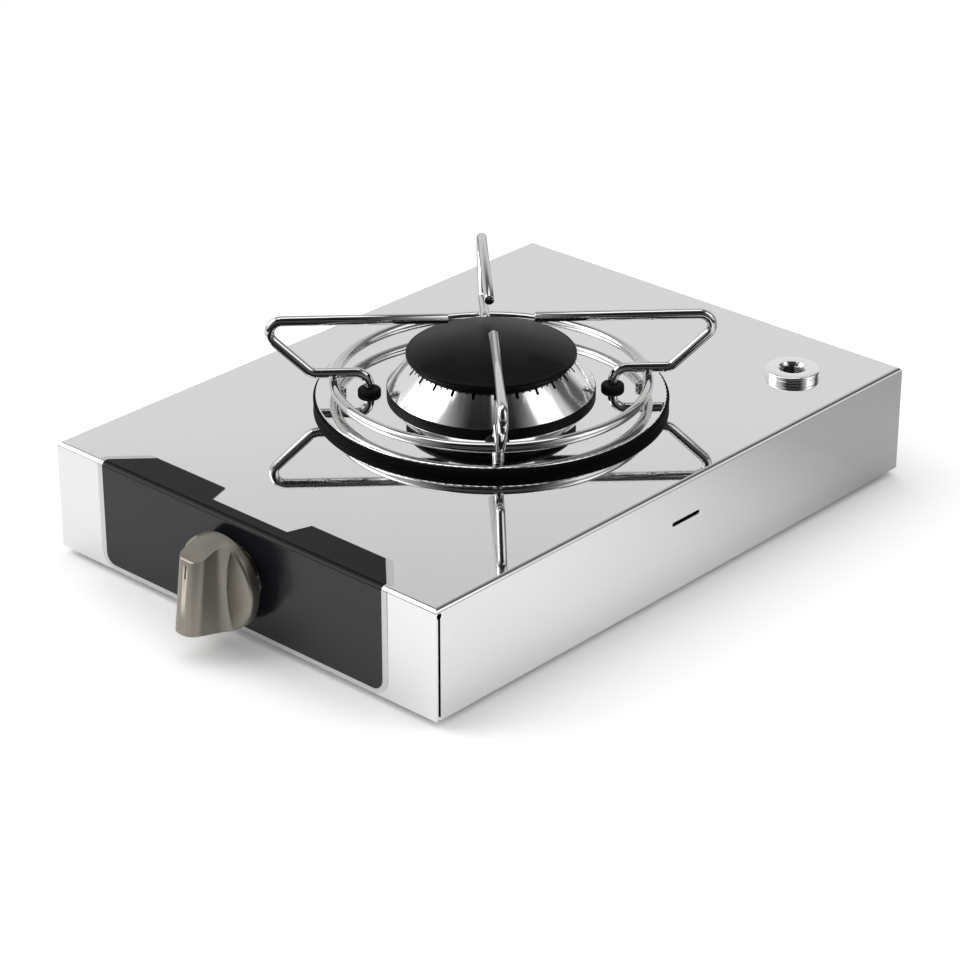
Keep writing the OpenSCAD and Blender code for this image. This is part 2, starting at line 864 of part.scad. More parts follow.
module tap_cover() {
  from = track_end - tap_turn - pin_slack;
  color(zinc) at_tap() translate([0, 0, sheet]) difference() {
    linear_extrude(cover_t) cover_outline();
    translate([0, 0, -eps]) cylinder(r = shaft_r + play, h = cover_t + 2 * eps);
    translate([0, 0, cover_t - track_t]) rotate([0, 0, from])
      rotate_extrude(angle = tap_turn + 2 * pin_slack) square([track_r, track_t + eps]);
    for (i = [-1, 1]) {
      translate([i * tap_screw_at, 0, -eps])
        cylinder(r = tap_screw_r + play, h = cover_t + 2 * eps);
      translate([i * tap_screw_at, i * cover_screw_y, -eps])
        cylinder(r = tap_screw_r + play, h = cover_t + 2 * eps);
      translate([i * tap_screw_at, i * cover_screw_y, 0])
        cylinder(r1 = tap_head_r, r2 = tap_screw_r, h = sink_h);
    }
  }
}

module cover_screws() {
  color(zinc) at_tap() for (i = [-1, 1]) translate([i * tap_screw_at, i * cover_screw_y, sheet]) {
    cylinder(r1 = tap_head_r, r2 = tap_screw_r, h = sink_h);
    cylinder(r = tap_screw_r, h = cover_t + tap_flange_t);
  }
}

module tap_screws() {
  color(zinc) at_tap() for (i = [-1, 1]) translate([i * tap_screw_at, 0, 0]) difference() {
    union() {
      translate([0, 0, -tap_head_h]) cylinder(r = tap_head_r, h = tap_head_h);
      cylinder(r = tap_screw_r, h = sheet + cover_t + tap_flange_t);
    }
    translate([0, 0, -tap_head_h - eps]) cylinder(d = key_d, h = eps + key_h, $fn = 6);
  }
}

module tap_plug() {
  end = seat_end - gap;
  fall = (seat_big - seat_small) / (seat_end - seat_at);
  color(brass) at_tap() difference() {
    translate([0, 0, seat_at]) cylinder(r1 = seat_big - play,
      r2 = seat_small - play + fall * gap, h = end - seat_at);
    translate([0, 0, (seat_at + slot_end) / 2]) cube([tang_w + 2 * gap, tang_t + 4 * play,
      slot_end - seat_at + 2 * play], center = true);
    translate([0, 0, port_at - bore_r]) cylinder(r = bore_r, h = end);
    translate([0, 0, port_at]) rotate([-90, 0, 0]) cylinder(r = port_r, h = seat_big);
  }
}

// square-section coil around the local Z axis
module coil(r, wire, length, turns) {
  count = turns * coil_steps;
  rise = (length - 2 * wire) / count;
  sides = [[-wire, -wire], [wire, -wire], [wire, wire], [-wire, wire]];
  spots = [for (i = [0:count], k = sides) let (a = i * 360 / coil_steps)
    [(r + k[0]) * cos(a), (r + k[0]) * sin(a), wire + i * rise + k[1]]];
  walls = [for (i = [0:count - 1], k = [0:3]) let (a = 4 * i, n = (k + 1) % 4)
    [a + k, a + k + 4, a + n + 4, a + n]];
  polyhedron(spots, concat(walls, [[0, 1, 2, 3]], [[for (k = [3:-1:0]) 4 * count + k]]));
}

module tap_spring() {
  color(steel) at_tap() translate([0, 0, spring_at])
    coil(coil_r, coil_wire, seat_at - spring_at, coil_turns);
}

module spindle() {
  color(brass) at_tap() difference() {
    union() {
      difference() {
        translate([0, 0, -shaft_out]) cylinder(r = shaft_r, h = shaft_out + collar_at);
        translate([-shaft_r, -shaft_r - flat_at, -shaft_out - eps])
          cube([2 * shaft_r, shaft_r, shaft_out - flat_out + eps]);
      }
      translate([0, 0, collar_at]) cylinder(r = collar_r, h = collar_t);
      translate([-tang_w / 2, -tang_t / 2, spring_at]) cube([tang_w, tang_t, tang_end - spring_at]);
    }
    translate([0, shaft_r, pin_at]) rotate([90, 0, 0]) cylinder(r = pin_r, h = 3 * shaft_r);
  }
}

module stop_pin() {
  color(steel) at_tap() translate([0, shaft_r - play, pin_at]) rotate([90, 0, 0])
    cylinder(r = pin_r, h = shaft_r - play + pin_len);
}

// ---- knob ----

// middle of the knob's sloping face, local +Z out of it
module at_face() {
  translate([0, 0, face_out]) rotate([-face_angle, 0, 0]) children();
}

module grip_section(low) {
  w = 2 * grip_w;
  translate([-grip_w, -low]) square([w, low - grip_edge]);
  translate([grip_edge - grip_w, -low]) square([w - 2 * grip_edge, low]);
  for (i = [-1, 1]) translate([i * (grip_w - grip_edge), -grip_edge]) circle(grip_edge);
}

module grip() {
  length = 4 * knob_r;
  spread = grip_w + grip_fillet;
  intersection() {
    union() {
      at_face() rotate([90, 0, 0]) linear_extrude(length, center = true) grip_section(knob_r);
      rotate([90, 0, 0]) linear_extrude(length, center = true) difference() {
        translate([-spread, skirt_z - eps]) square([2 * spread, grip_fillet + eps]);
        for (i = [-1, 1]) translate([i * spread, skirt_z + grip_fillet]) circle(grip_fillet);
      }
    }
    translate([0, 0, skirt_z - eps]) cylinder(r1 = knob_r, r2 = knob_r - draft * knob_r, h = knob_r);
    translate([0, -knob_r, skirt_z]) rotate([-taper_angle, 0, 0]) translate([0, knob_r, -2 * skirt_z])
      cylinder(r = knob_r, h = 3 * knob_r);
  }
}

module shaft_bore() {
  difference() {
    cylinder(r = shaft_r + play, h = shaft_out + gap);
    translate([-2 * shaft_r, flat_at + play, flat_out])
      cube([4 * shaft_r, 2 * shaft_r, shaft_out]);
  }
}

module clip_place(slack) {
  translate([-clip_w / 2 - slack, 0, flat_out + eps]) cube([clip_w + 2 * slack,
    flat_at + clip_t + 2 * slack, clip_l + slack]);
}

module face_mark(t) {
  at_face() translate([-mark_w / 2, mark_at, -mark_sunk - mark_t]) cube([mark_w, mark_l, t]);
}

module knob() {
  color(satin) at_knob() difference() {
    union() {
      translate([0, 0, knob_gap]) soft_disc(knob_r, skirt_t, skirt_edge);
      grip();
    }
    translate([0, 0, knob_gap - eps]) ring(hollow_r, hub_r, hollow_t + eps);
    shaft_bore();
    clip_place(play);
    face_mark(2 * eps);
  }
}

module knob_mark() {
  color(black) at_knob() face_mark(mark_t);
}

module knob_clip() {
  color(steel) at_knob() intersection() {
    clip_place(0);
    translate([-clip_w, flat_at, 0]) cube([2 * clip_w, clip_t, shaft_out]);
  }
}

// ---- pan support ----

module pan_ring() {
  color(steel) at_burner() translate([0, 0, ring_z]) rotate_extrude()
    translate([ring_r, 0]) circle(wire_r);
}

// bend in the arm's plane: centre, bend radius, start angle and turn
module wire_bend(centre, r, from, turn) {
  translate([centre[0], 0, centre[1]]) rotate([90, 0, 0]) rotate([0, 0, from])
    rotate_extrude(angle = turn) translate([r, 0]) circle(wire_r);
}

// straight wire that reaches into the bends at its ends by the given lengths
module wire_run(from, to, in_from, in_to) {
  way = to - from;
  translate([from[0], 0, from[1]]) rotate([0, atan2(way[0], way[1]), 0])
    translate([0, 0, -in_from]) cylinder(r = wire_r - bend_over, h = norm(way) + in_from + in_to);
}

module pan_arm(turn) {
  tip = [tip_r, tip_z];
  low = [low_r, low_c];
  out = [cos(tip_angle), -sin(tip_angle)];
  leg = [leg_r + leg_bend_r, low_z - leg_bend_r];
  color(steel) at_burner() rotate([0, 0, turn]) {
    wire_run([arm_in_r, arm_top_z], [tip_r, arm_top_z], 0, run_in);
    wire_bend(tip, tip_bend_r, -tip_angle, 90 + tip_angle);
    wire_run(tip + tip_bend_r * out, low + low_bend_r * out, run_in, run_in);
    wire_bend(low, low_bend_r, -90, 90 - tip_angle);
    wire_run([low_r, low_z], [leg[0], low_z], run_in, run_in);
    wire_bend(leg, leg_bend_r, 90, 90);
    wire_run([leg_r, leg[1]], [leg_r, leg_end_z], run_in, 0);
  }
}

module pan_arm_front() {
  pan_arm(legs_turn + 180);
}

module pan_arm_right() {
  pan_arm(legs_turn - 90);
}

module pan_arm_back() {
  pan_arm(legs_turn);
}

module pan_arm_left() {
  pan_arm(legs_turn + 90);
}

// ---- burner ----

// cast base: its rim is the black ring under the cone
module crown_base() {
  color(black) at_burner() rotate_extrude() polygon([
    [throat_out + play, 0], [crown_r, 0], [crown_r, foot_ring_h], [crown_in_r - gap, foot_ring_h],
    [chamber_r - gap, floor_high], [throat_out + play, floor_high]]);
}

// short sleeve below the base, centres the crown in the plate's hole
module guide_ring() {
  color(black) at_burner() translate([0, 0, -throat_low]) ring(spigot_out, spigot_in, throat_low);
}

module mixing_tube() {
  color(zinc) at_burner() translate([0, 0, -throat_low])
    ring(throat_out, throat_r, throat_top + throat_low);
}

module burner_crown() {
  color(steel) at_burner() difference() {
    rotate_extrude() polygon([[crown_in_r, foot_ring_h], [crown_r, foot_ring_h],
      [crown_top_r, crown_h], [lip_r, crown_h], [chamber_r, floor_high]]);
    around(slots, lip_r) translate([-eps, -slot_w / 2, crown_h - slot_depth])
      cube([slot_l, slot_w, crown_h]);
    for (i = [1:notches - 1]) around(slots, lip_r, i * 360 / slots / notches)
      translate([-eps, -notch_w / 2, crown_h - notch_w]) cube([slot_l, notch_w, crown_h]);
  }
}

module burner_cap() {
  dome = cap_h - seat_h - rim_t;
  dome_r = (pow(cap_r - rim_edge, 2) + pow(dome, 2)) / (2 * dome);
  color(charcoal) at_burner() translate([0, 0, crown_h]) {
    rotate_extrude() difference() {
      union() {
        square([seat_r, seat_h + eps]);
        translate([0, seat_h]) square([cap_r - rim_edge, rim_t]);
        translate([0, seat_h + rim_edge]) square([cap_r, rim_t - 2 * rim_edge]);
        translate([cap_r - rim_edge, seat_h + rim_edge]) circle(rim_edge);
        translate([cap_r - rim_edge, seat_h + rim_t - rim_edge]) circle(rim_edge);
        intersection() {
          translate([0, cap_h - dome_r]) circle(dome_r, $fn = dome_sides);
          translate([0, seat_h]) square([cap_r - rim_edge, cap_h]);
        }
      }
      translate([0, -eps]) square([recess_r, recess_h + eps]);
      translate([-cap_r, -cap_r]) square([cap_r, 3 * cap_r]);
    }
    around(lugs, lug_r, lugs_turn) translate([-lug_t, -lug_w / 2, -lug_h])
      cube([lug_t, lug_w, lug_h + eps]);
  }
}

top_sheet();
front_wall();
back_wall();
left_wall();
right_wall();
bottom_flanges();
base_plates();
base_screws();
rubber_feet();
label_border();
label_panel();
plate_gasket();
burner_plate();
plate_screws();
plate_nuts();
leg_grommets();
burner_cup();
injector_holder();
injector_jet();
burner_pipe();
feed_pipe();
pipe_nuts();
pipe_olives();
inlet_boss();
inlet_washer();
inlet_locknut();
inlet_elbow();
tap_body();
tap_cover();
cover_screws();
tap_screws();
tap_plug();
tap_spring();
spindle();
stop_pin();
knob();
knob_mark();
knob_clip();
pan_ring();
pan_arm_front();
pan_arm_right();
pan_arm_back();
pan_arm_left();
crown_base();
guide_ring();
mixing_tube();
burner_crown();
burner_cap();
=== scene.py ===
import bpy
from math import atan, cos, pi, radians, sin, sqrt, tan
from mathutils import Matrix, Vector


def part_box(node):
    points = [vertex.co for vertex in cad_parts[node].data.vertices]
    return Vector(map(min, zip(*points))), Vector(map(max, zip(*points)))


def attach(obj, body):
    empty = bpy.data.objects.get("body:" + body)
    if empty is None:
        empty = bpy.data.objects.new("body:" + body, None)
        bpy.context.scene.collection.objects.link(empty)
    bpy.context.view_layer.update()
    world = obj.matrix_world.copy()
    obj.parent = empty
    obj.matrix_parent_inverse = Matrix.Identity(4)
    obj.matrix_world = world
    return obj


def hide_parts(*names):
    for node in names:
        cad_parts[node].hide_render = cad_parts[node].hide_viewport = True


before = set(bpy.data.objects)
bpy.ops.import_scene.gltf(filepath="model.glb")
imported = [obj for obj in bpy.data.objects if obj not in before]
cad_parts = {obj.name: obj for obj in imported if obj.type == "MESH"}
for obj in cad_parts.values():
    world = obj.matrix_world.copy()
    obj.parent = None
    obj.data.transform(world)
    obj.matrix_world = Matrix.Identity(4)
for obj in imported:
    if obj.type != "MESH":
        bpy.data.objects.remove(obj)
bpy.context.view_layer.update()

print("frame loaded,", len(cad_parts), "nodes")

mm = 0.001


def middleOf(node):
    low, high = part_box(node)
    return (low + high) / 2


def topOf(node):
    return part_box(node)[1].z


plateMiddle = middleOf("burner_plate")
burnerAt = Vector((plateMiddle.x, plateMiddle.y, topOf("burner_plate")))    # on top of the burner plate
tapMiddle = middleOf("tap_plug")
knobAt = Vector((tapMiddle.x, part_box("front_wall")[0].y, tapMiddle.z))    # tap axis on the front wall
inletMiddle = middleOf("inlet_washer")
inletAt = Vector((inletMiddle.x, inletMiddle.y, topOf("top_sheet")))    # inlet axis on the top surface


class Value:
    def __init__(self, finish, socket):
        self.finish = finish
        self.socket = socket

    def join(self, operation, first, second):
        made = self.finish.node("ShaderNodeMath", {"operation": operation}, {0: first, 1: second})
        return Value(self.finish, made.outputs[0])

    def __add__(self, other):
        return self.join("ADD", self, other)

    def __radd__(self, other):
        return self.join("ADD", other, self)

    def __sub__(self, other):
        return self.join("SUBTRACT", self, other)

    def __rsub__(self, other):
        return self.join("SUBTRACT", other, self)

    def __mul__(self, other):
        return self.join("MULTIPLY", self, other)

    def __rmul__(self, other):
        return self.join("MULTIPLY", other, self)

    def __truediv__(self, other):
        return self.join("DIVIDE", self, other)

    def __pow__(self, other):
        return self.join("POWER", self, other)

    def most(self, other):
        return self.join("MAXIMUM", self, other)

    def least(self, other):
        return self.join("MINIMUM", self, other)


class Finish:
    def __init__(self, name, world=None):
        if world is None:
            self.holder = bpy.data.materials.new(name)
            self.holder.use_nodes = True
            self.end = "ShaderNodeOutputMaterial"
        else:
            self.holder = world
            self.holder.use_nodes = True
            self.end = "ShaderNodeOutputWorld"
        self.nodes = self.holder.node_tree.nodes
        self.links = self.holder.node_tree.links
        self.nodes.clear()
        self.output = self.nodes.new(self.end)

    def node(self, kind, settings=None, inputs=None):
        made = self.nodes.new(kind)
        for key, value in (settings or {}).items():
            if key == "stops":
                self.setStops(made.color_ramp, value)
            else:
                setattr(made, key, value)
        for key, value in (inputs or {}).items():
            if isinstance(value, Value):
                self.links.new(value.socket, made.inputs[key])
            elif hasattr(value, "is_output"):
                self.links.new(value, made.inputs[key])
            else:
                made.inputs[key].default_value = value
        return made

    def setStops(self, ramp, stops):
        while len(ramp.elements) < len(stops):
            ramp.elements.new(0.5)
        for element, (place, shade) in zip(ramp.elements, stops):
            element.position = place
            element.color = (shade, shade, shade, 1) if isinstance(shade, (int, float)) else (*shade, 1)

    def value(self, socket):
        return Value(self, socket)

    def coords(self, scale=(1, 1, 1), turn=(0, 0, 0), move=(0, 0, 0)):
        place = self.node("ShaderNodeTexCoord")
        mapped = self.node("ShaderNodeMapping", {"vector_type": "POINT"},
                           {0: place.outputs["Object"], "Scale": scale, "Rotation": turn, "Location": move})
        return mapped.outputs[0]

    def noise(self, vector, scale, detail=3, rough=0.5):
        made = self.node("ShaderNodeTexNoise", {}, {"Vector": vector, "Scale": scale, "Detail": detail,
                                                    "Roughness": rough})
        return self.value(made.outputs[0])

    def ramp(self, value, stops):
        made = self.node("ShaderNodeValToRGB", {"stops": stops}, {0: value})
        return made.outputs[0]

    def blend(self, factor, first, second):
        made = self.node("ShaderNodeMix", {"data_type": "RGBA"}, {0: factor, 6: first, 7: second})
        return made.outputs[2]

    def bump(self, height, strength, distance):
        return self.node("ShaderNodeBump", {}, {"Strength": strength, "Distance": distance, "Height": height}).outputs[0]

    def surface(self, inputs):
        shader = self.node("ShaderNodeBsdfPrincipled", {}, inputs)
        self.links.new(shader.outputs[0], self.output.inputs[0])
        return self.holder


def colour(*levels):
    return (*levels, 1)


def polishedSteel(name, grain, tone=(0.83, 0.828, 0.826), base=0.015, haze=0.035, lines=0.02):
    finish = Finish(name)
    lay = finish.coords(scale=grain)
    brushed = finish.noise(lay, 900, 4, 0.6)
    cloud = finish.noise(finish.coords(), 14, 4, 0.55)
    smear = finish.noise(finish.coords(scale=(1, 2.4, 1.3), turn=(0, 0, 0.6)), 38, 5, 0.6)
    shade = brushed * 0.5 + cloud * 0.5
    dark = colour(*[c * 0.955 for c in tone])
    light = colour(*[min(1, c * 1.03) for c in tone])
    return finish.surface({
        "Base Color": finish.blend(shade, dark, light),
        "Metallic": 1,
        "Roughness": base + haze * (smear * 0.6 + brushed * 0.4),
        "Normal": finish.bump(brushed, lines, 0.00002),
    })


def turnedSteel():
    finish = Finish("inlet_steel")
    place = finish.node("ShaderNodeTexCoord").outputs["Object"]
    parts = finish.node("ShaderNodeSeparateXYZ", {}, {0: place})
    across = finish.value(parts.outputs[0]) - inletAt.x
    along = finish.value(parts.outputs[1]) - inletAt.y
    up = finish.value(parts.outputs[2])
    out = (across * across + along * along) ** 0.5
    rings = finish.node("ShaderNodeCombineXYZ", {}, {0: out * 1.0, 1: up * 1.0, 2: 0.0})
    turned = finish.noise(rings.outputs[0], 2400, 3, 0.7)
    # painted shade: inside the threaded hole, out to about 5.7 mm from the axis, the metal is given a dark colour
    inside = finish.ramp(out * 100, [(0.50, 0.0), (0.57, 1.0)])
    bare = finish.blend(turned, colour(0.90, 0.90, 0.90), colour(0.97, 0.97, 0.97))
    return finish.surface({
        "Base Color": finish.blend(inside, colour(0.30, 0.29, 0.28), bare),
        "Metallic": 1,
        "Roughness": 0.08 + turned * 0.09,
        "Normal": finish.bump(turned, 0.12, 0.00003),
    })


steelTop = polishedSteel("steel_polished", (1, 0.02, 1))
steelPlate = polishedSteel("steel_plate", (0.02, 1, 1))


def chromeWire():
    finish = Finish("wire_chrome")
    drawn = finish.noise(finish.coords(), 700, 3, 0.6)
    spots = finish.noise(finish.coords(), 160, 3, 0.5)
    return finish.surface({
        "Base Color": finish.blend(spots, colour(0.63, 0.63, 0.62), colour(0.72, 0.72, 0.71)),
        "Metallic": 1,
        "Roughness": 0.05 + drawn * 0.06,
        "Normal": finish.bump(drawn, 0.03, 0.00003),
    })


def turnedAlloy():
    finish = Finish("crown_alloy")
    place = finish.node("ShaderNodeTexCoord").outputs["Object"]
    parts = finish.node("ShaderNodeSeparateXYZ", {}, {0: place})
    across = finish.value(parts.outputs[0]) - burnerAt.x
    along = finish.value(parts.outputs[1]) - burnerAt.y
    up = finish.value(parts.outputs[2])
    out = (across * across + along * along) ** 0.5
    rings = finish.node("ShaderNodeCombineXYZ", {}, {0: out * 1.0, 1: up * 1.0, 2: 0.0})
    turned = finish.noise(rings.outputs[0], 2600, 3, 0.7)
    cloud = finish.noise(place, 90, 3, 0.5)
    return finish.surface({
        "Base Color": finish.blend(cloud, colour(0.82, 0.82, 0.83), colour(0.90, 0.90, 0.905)),
        "Metallic": 1,
        "Roughness": 0.09 + turned * 0.07,
        "Normal": finish.bump(turned, 0.18, 0.00003),
    })


def blackEnamel(name, low=0.004, high=0.008, rough=0.34, ior=1.5):
    finish = Finish(name)
    peel = finish.noise(finish.coords(), 420, 3, 0.5)
    dust = finish.noise(finish.coords(), 2400, 2, 0.6)
    cloud = finish.noise(finish.coords(), 60, 3, 0.5)
    return finish.surface({
        "Base Color": finish.blend(cloud, colour(low, low, low * 1.05), colour(high, high, high * 1.08)),
        "Roughness": rough + cloud * 0.10 + dust * 0.06,
        "IOR": ior,
        "Normal": finish.bump(peel * 0.7 + dust * 0.3, 0.12, 0.00008),
    })


def charcoalFilm():
    finish = Finish("film_charcoal")
    fleck = finish.noise(finish.coords(), 3200, 2, 0.5)
    cloud = finish.noise(finish.coords(), 26, 3, 0.5)
    rough = 0.13 + cloud * 0.06
    bumps = finish.bump(cloud, 0.05, 0.0002)
    front = finish.node("ShaderNodeBsdfPrincipled", {}, {
        "Base Color": finish.blend(fleck, colour(0.0060, 0.0058, 0.0078), colour(0.0110, 0.0106, 0.0140)),
        "Roughness": rough, "IOR": 1.41, "Normal": bumps})
    # painted shade: the film's part on top is a darker copy of the same film, with a darker colour and a lower IOR
    shadedFlap = finish.node("ShaderNodeBsdfPrincipled", {}, {
        "Base Color": finish.blend(fleck, colour(0.0035, 0.0034, 0.0045), colour(0.0065, 0.0063, 0.0080)),
        "Roughness": rough, "IOR": 1.17, "Normal": bumps})
    place = finish.node("ShaderNodeTexCoord").outputs["Object"]
    parts = finish.node("ShaderNodeSeparateXYZ", {}, {0: place})
    over = finish.value(parts.outputs[2]) - (topOf("top_sheet") - 0.0012)
    onTop = finish.ramp(over * 1000, [(0.0, 0.0), (1.0, 1.0)])
    mixed = finish.node("ShaderNodeMixShader", {}, {0: onTop, 1: front.outputs[0], 2: shadedFlap.outputs[0]})
    finish.links.new(mixed.outputs[0], finish.output.inputs[0])
    return finish.holder


def silverFilm():
    finish = Finish("film_silver")
    fleck = finish.noise(finish.coords(), 2800, 3, 0.6)
    return finish.surface({
        "Base Color": finish.blend(fleck, colour(0.55, 0.55, 0.56), colour(0.68, 0.68, 0.69)),
        "Metallic": 0.85,
        "Roughness": 0.26 + fleck * 0.12,
        "Normal": finish.bump(fleck, 0.08, 0.00003),
    })


def satinNickel():
    finish = Finish("knob_satin_nickel")
    fine = finish.noise(finish.coords(scale=(1, 1, 0.03)), 2600, 3, 0.65)
    cloud = finish.noise(finish.coords(), 60, 3, 0.5)
    return finish.surface({
        "Base Color": finish.blend(fine * 0.6 + cloud * 0.4, colour(0.25, 0.231, 0.196), colour(0.35, 0.327, 0.285)),
        "Metallic": 1,
        "Roughness": 0.35 + fine * 0.12,
        "Normal": finish.bump(fine, 0.16, 0.00004),
    })


def softRubber(name, level, ior):
    finish = Finish(name)
    grain = finish.noise(finish.coords(), 1500, 3, 0.6)
    dust = finish.noise(finish.coords(), 220, 4, 0.6)
    return finish.surface({
        "Base Color": finish.blend(dust, colour(level, level, level), colour(level * 2, level * 2, level * 2.05)),
        "Roughness": 0.5 + grain * 0.2,
        "IOR": ior,
        "Normal": finish.bump(grain, 0.25, 0.00005),
    })


def platedMetal(name, dark, light, rough, metallic=1.0):
    finish = Finish(name)
    fine = finish.noise(finish.coords(), 900, 3, 0.6)
    cloud = finish.noise(finish.coords(), 120, 4, 0.55)
    return finish.surface({
        "Base Color": finish.blend(cloud, colour(*dark), colour(*light)),
        "Metallic": metallic,
        "Roughness": rough + fine * 0.12,
        "Normal": finish.bump(fine, 0.1, 0.00005),
    })


def markPaint():
    finish = Finish("mark_paint")
    grain = finish.noise(finish.coords(), 2600, 2, 0.5)
    return finish.surface({
        "Base Color": finish.blend(grain, colour(0.008, 0.008, 0.008), colour(0.02, 0.02, 0.02)),
        "Roughness": 0.5 + grain * 0.2,
    })


steelInlet = turnedSteel()
wireChrome = chromeWire()
crownAlloy = turnedAlloy()
capEnamel = blackEnamel("cap_enamel", 0.002, 0.0045, 0.26, 1.17)
ringEnamel = blackEnamel("crown_ring_enamel", 0.0015, 0.003, 0.42, 1.2)
filmCharcoal = charcoalFilm()
filmSilver = silverFilm()
knobNickel = satinNickel()
blackRubber = softRubber("rubber_black", 0.0035, 1.25)
gasketRubber = softRubber("gasket_black", 0.0015, 1.12)
zincPlate = platedMetal("zinc_plated", (0.50, 0.51, 0.53), (0.66, 0.67, 0.70), 0.28)
screwSteel = platedMetal("screw_steel", (0.55, 0.55, 0.56), (0.72, 0.72, 0.73), 0.16)
brassCut = platedMetal("brass_machined", (0.62, 0.46, 0.20), (0.76, 0.58, 0.28), 0.2)
copperDrawn = platedMetal("copper_drawn", (0.62, 0.32, 0.19), (0.76, 0.42, 0.27), 0.22)
springSteel = platedMetal("spring_steel", (0.50, 0.50, 0.52), (0.66, 0.66, 0.68), 0.2)
blackMark = markPaint()

nodeFinishes = {
    "top_sheet": steelTop, "front_wall": steelTop, "back_wall": steelTop, "left_wall": steelTop,
    "right_wall": steelTop, "bottom_flanges": steelTop, "burner_plate": steelPlate,
    "label_border": filmSilver, "label_panel": filmCharcoal, "base_plates": zincPlate, "base_screws": zincPlate,
    "rubber_feet": blackRubber, "plate_nuts": zincPlate, "burner_cup": zincPlate, "mixing_tube": zincPlate,
    "tap_cover": zincPlate, "cover_screws": zincPlate, "tap_screws": zincPlate, "stop_pin": springSteel,
    "tap_spring": springSteel, "knob_clip": springSteel, "knob_mark": blackMark, "injector_holder": brassCut,
    "injector_jet": brassCut, "pipe_nuts": brassCut, "pipe_olives": brassCut, "inlet_locknut": brassCut,
    "inlet_elbow": brassCut, "tap_body": brassCut, "tap_plug": brassCut, "spindle": brassCut,
    "burner_pipe": copperDrawn, "feed_pipe": copperDrawn, "inlet_washer": copperDrawn,
    "inlet_boss": steelInlet, "crown_base": ringEnamel, "guide_ring": ringEnamel,
}


def dress(piece, finish):
    piece.data.materials.clear()
    piece.data.materials.append(finish)


for nodeName, finish in nodeFinishes.items():
    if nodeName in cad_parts:
        dress(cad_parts[nodeName], finish)
print("finishes mixed and put on the frame")


def letGo():
    if bpy.context.object and bpy.context.object.mode != "OBJECT":
        bpy.ops.object.mode_set(mode="OBJECT")
    bpy.ops.object.select_all(action="DESELECT")


def take(piece):
    letGo()
    piece.select_set(True)
    bpy.context.view_layer.objects.active = piece


def openUp(selectAll=True):
    bpy.ops.object.mode_set(mode="EDIT")
    bpy.ops.mesh.select_mode(type="VERT")
    bpy.ops.mesh.select_all(action="SELECT" if selectAll else "DESELECT")


def closeUp():
    bpy.ops.object.mode_set(mode="OBJECT")


def settle(piece):
    take(piece)
    bpy.ops.object.transform_apply(location=True, rotation=True, scale=True)


def smooth(piece, angle=35):
    take(piece)
    bpy.ops.object.shade_smooth_by_angle(angle=radians(angle))


def applyAll(piece):
    take(piece)
    for modifier in list(piece.modifiers):
        bpy.ops.object.modifier_apply(modifier=modifier.name)


def breakEdges(piece, width, segments=2, angle=35):
    bevel = piece.modifiers.new("edges", "BEVEL")
    bevel.width = width
    bevel.segments = segments
    bevel.limit_method = "ANGLE"
    bevel.angle_limit = radians(angle)
    bevel.harden_normals = False
    applyAll(piece)


def rounded(corners, steps=5):
    points = []
    count = len(corners)
    for index, (x, z, radius) in enumerate(corners):
        if radius == 0 or index in (0, count - 1):
            points.append(Vector((x, 0, z)))
            continue
        here = Vector((x, 0, z))
        before = Vector((corners[index - 1][0], 0, corners[index - 1][1])) - here
        after = Vector((corners[index + 1][0], 0, corners[index + 1][1])) - here
        half = before.angle(after) / 2
        reach = radius / tan(half)
        start = here + before.normalized() * reach
        end = here + after.normalized() * reach
        centre = here + (before.normalized() + after.normalized()).normalized() * (radius / sin(half))
        for step in range(steps + 1):
            spot = start.lerp(end, step / steps) - centre
            points.append(centre + spot.normalized() * radius)
    return points


def lathe(name, corners, at, steps=96, arcSteps=5, toAxis=False):
    points = [at + p * mm for p in rounded(corners, arcSteps)]
    letGo()
    bpy.ops.mesh.primitive_plane_add(size=0.002, location=points[0])
    piece = bpy.context.object
    piece.name = name
    settle(piece)
    openUp()
    bpy.ops.mesh.merge(type="CENTER")
    for here, there in zip(points, points[1:]):
        bpy.ops.mesh.extrude_region_move(TRANSFORM_OT_translate={"value": there - here})
    bpy.ops.mesh.select_all(action="SELECT")
    bpy.ops.mesh.spin(steps=steps, angle=2 * pi, center=at, axis=(0, 0, 1))
    bpy.ops.mesh.select_all(action="SELECT")
    bpy.ops.mesh.remove_doubles(threshold=2e-6)
    bpy.ops.mesh.normals_make_consistent(inside=False)
    closeUp()
    return piece


def copyTurned(piece, name, angle, about):
    twin = piece.copy()
    twin.data = piece.data.copy()
    twin.name = name
    bpy.context.scene.collection.objects.link(twin)
    turn = Matrix.Translation(about) @ Matrix.Rotation(angle, 4, "Z") @ Matrix.Translation(-about)
    twin.data.transform(turn)
    return twin


def joined(pieces, name):
    letGo()
    for piece in pieces:
        piece.select_set(True)
    bpy.context.view_layer.objects.active = pieces[0]
    bpy.ops.object.join()
    pieces[0].name = name
    return pieces[0]


def cut(piece, cutter, operation="DIFFERENCE"):
    boolean = piece.modifiers.new("cut", "BOOLEAN")
    boolean.operation = operation
    boolean.solver = "EXACT"
    boolean.object = cutter
    applyAll(piece)
    bpy.data.objects.remove(cutter)


def block(name, size, at, turn=(0, 0, 0)):
    letGo()
    bpy.ops.mesh.primitive_cube_add(size=1, location=at, rotation=turn, scale=size)
    piece = bpy.context.object
    piece.name = name
    settle(piece)
    return piece


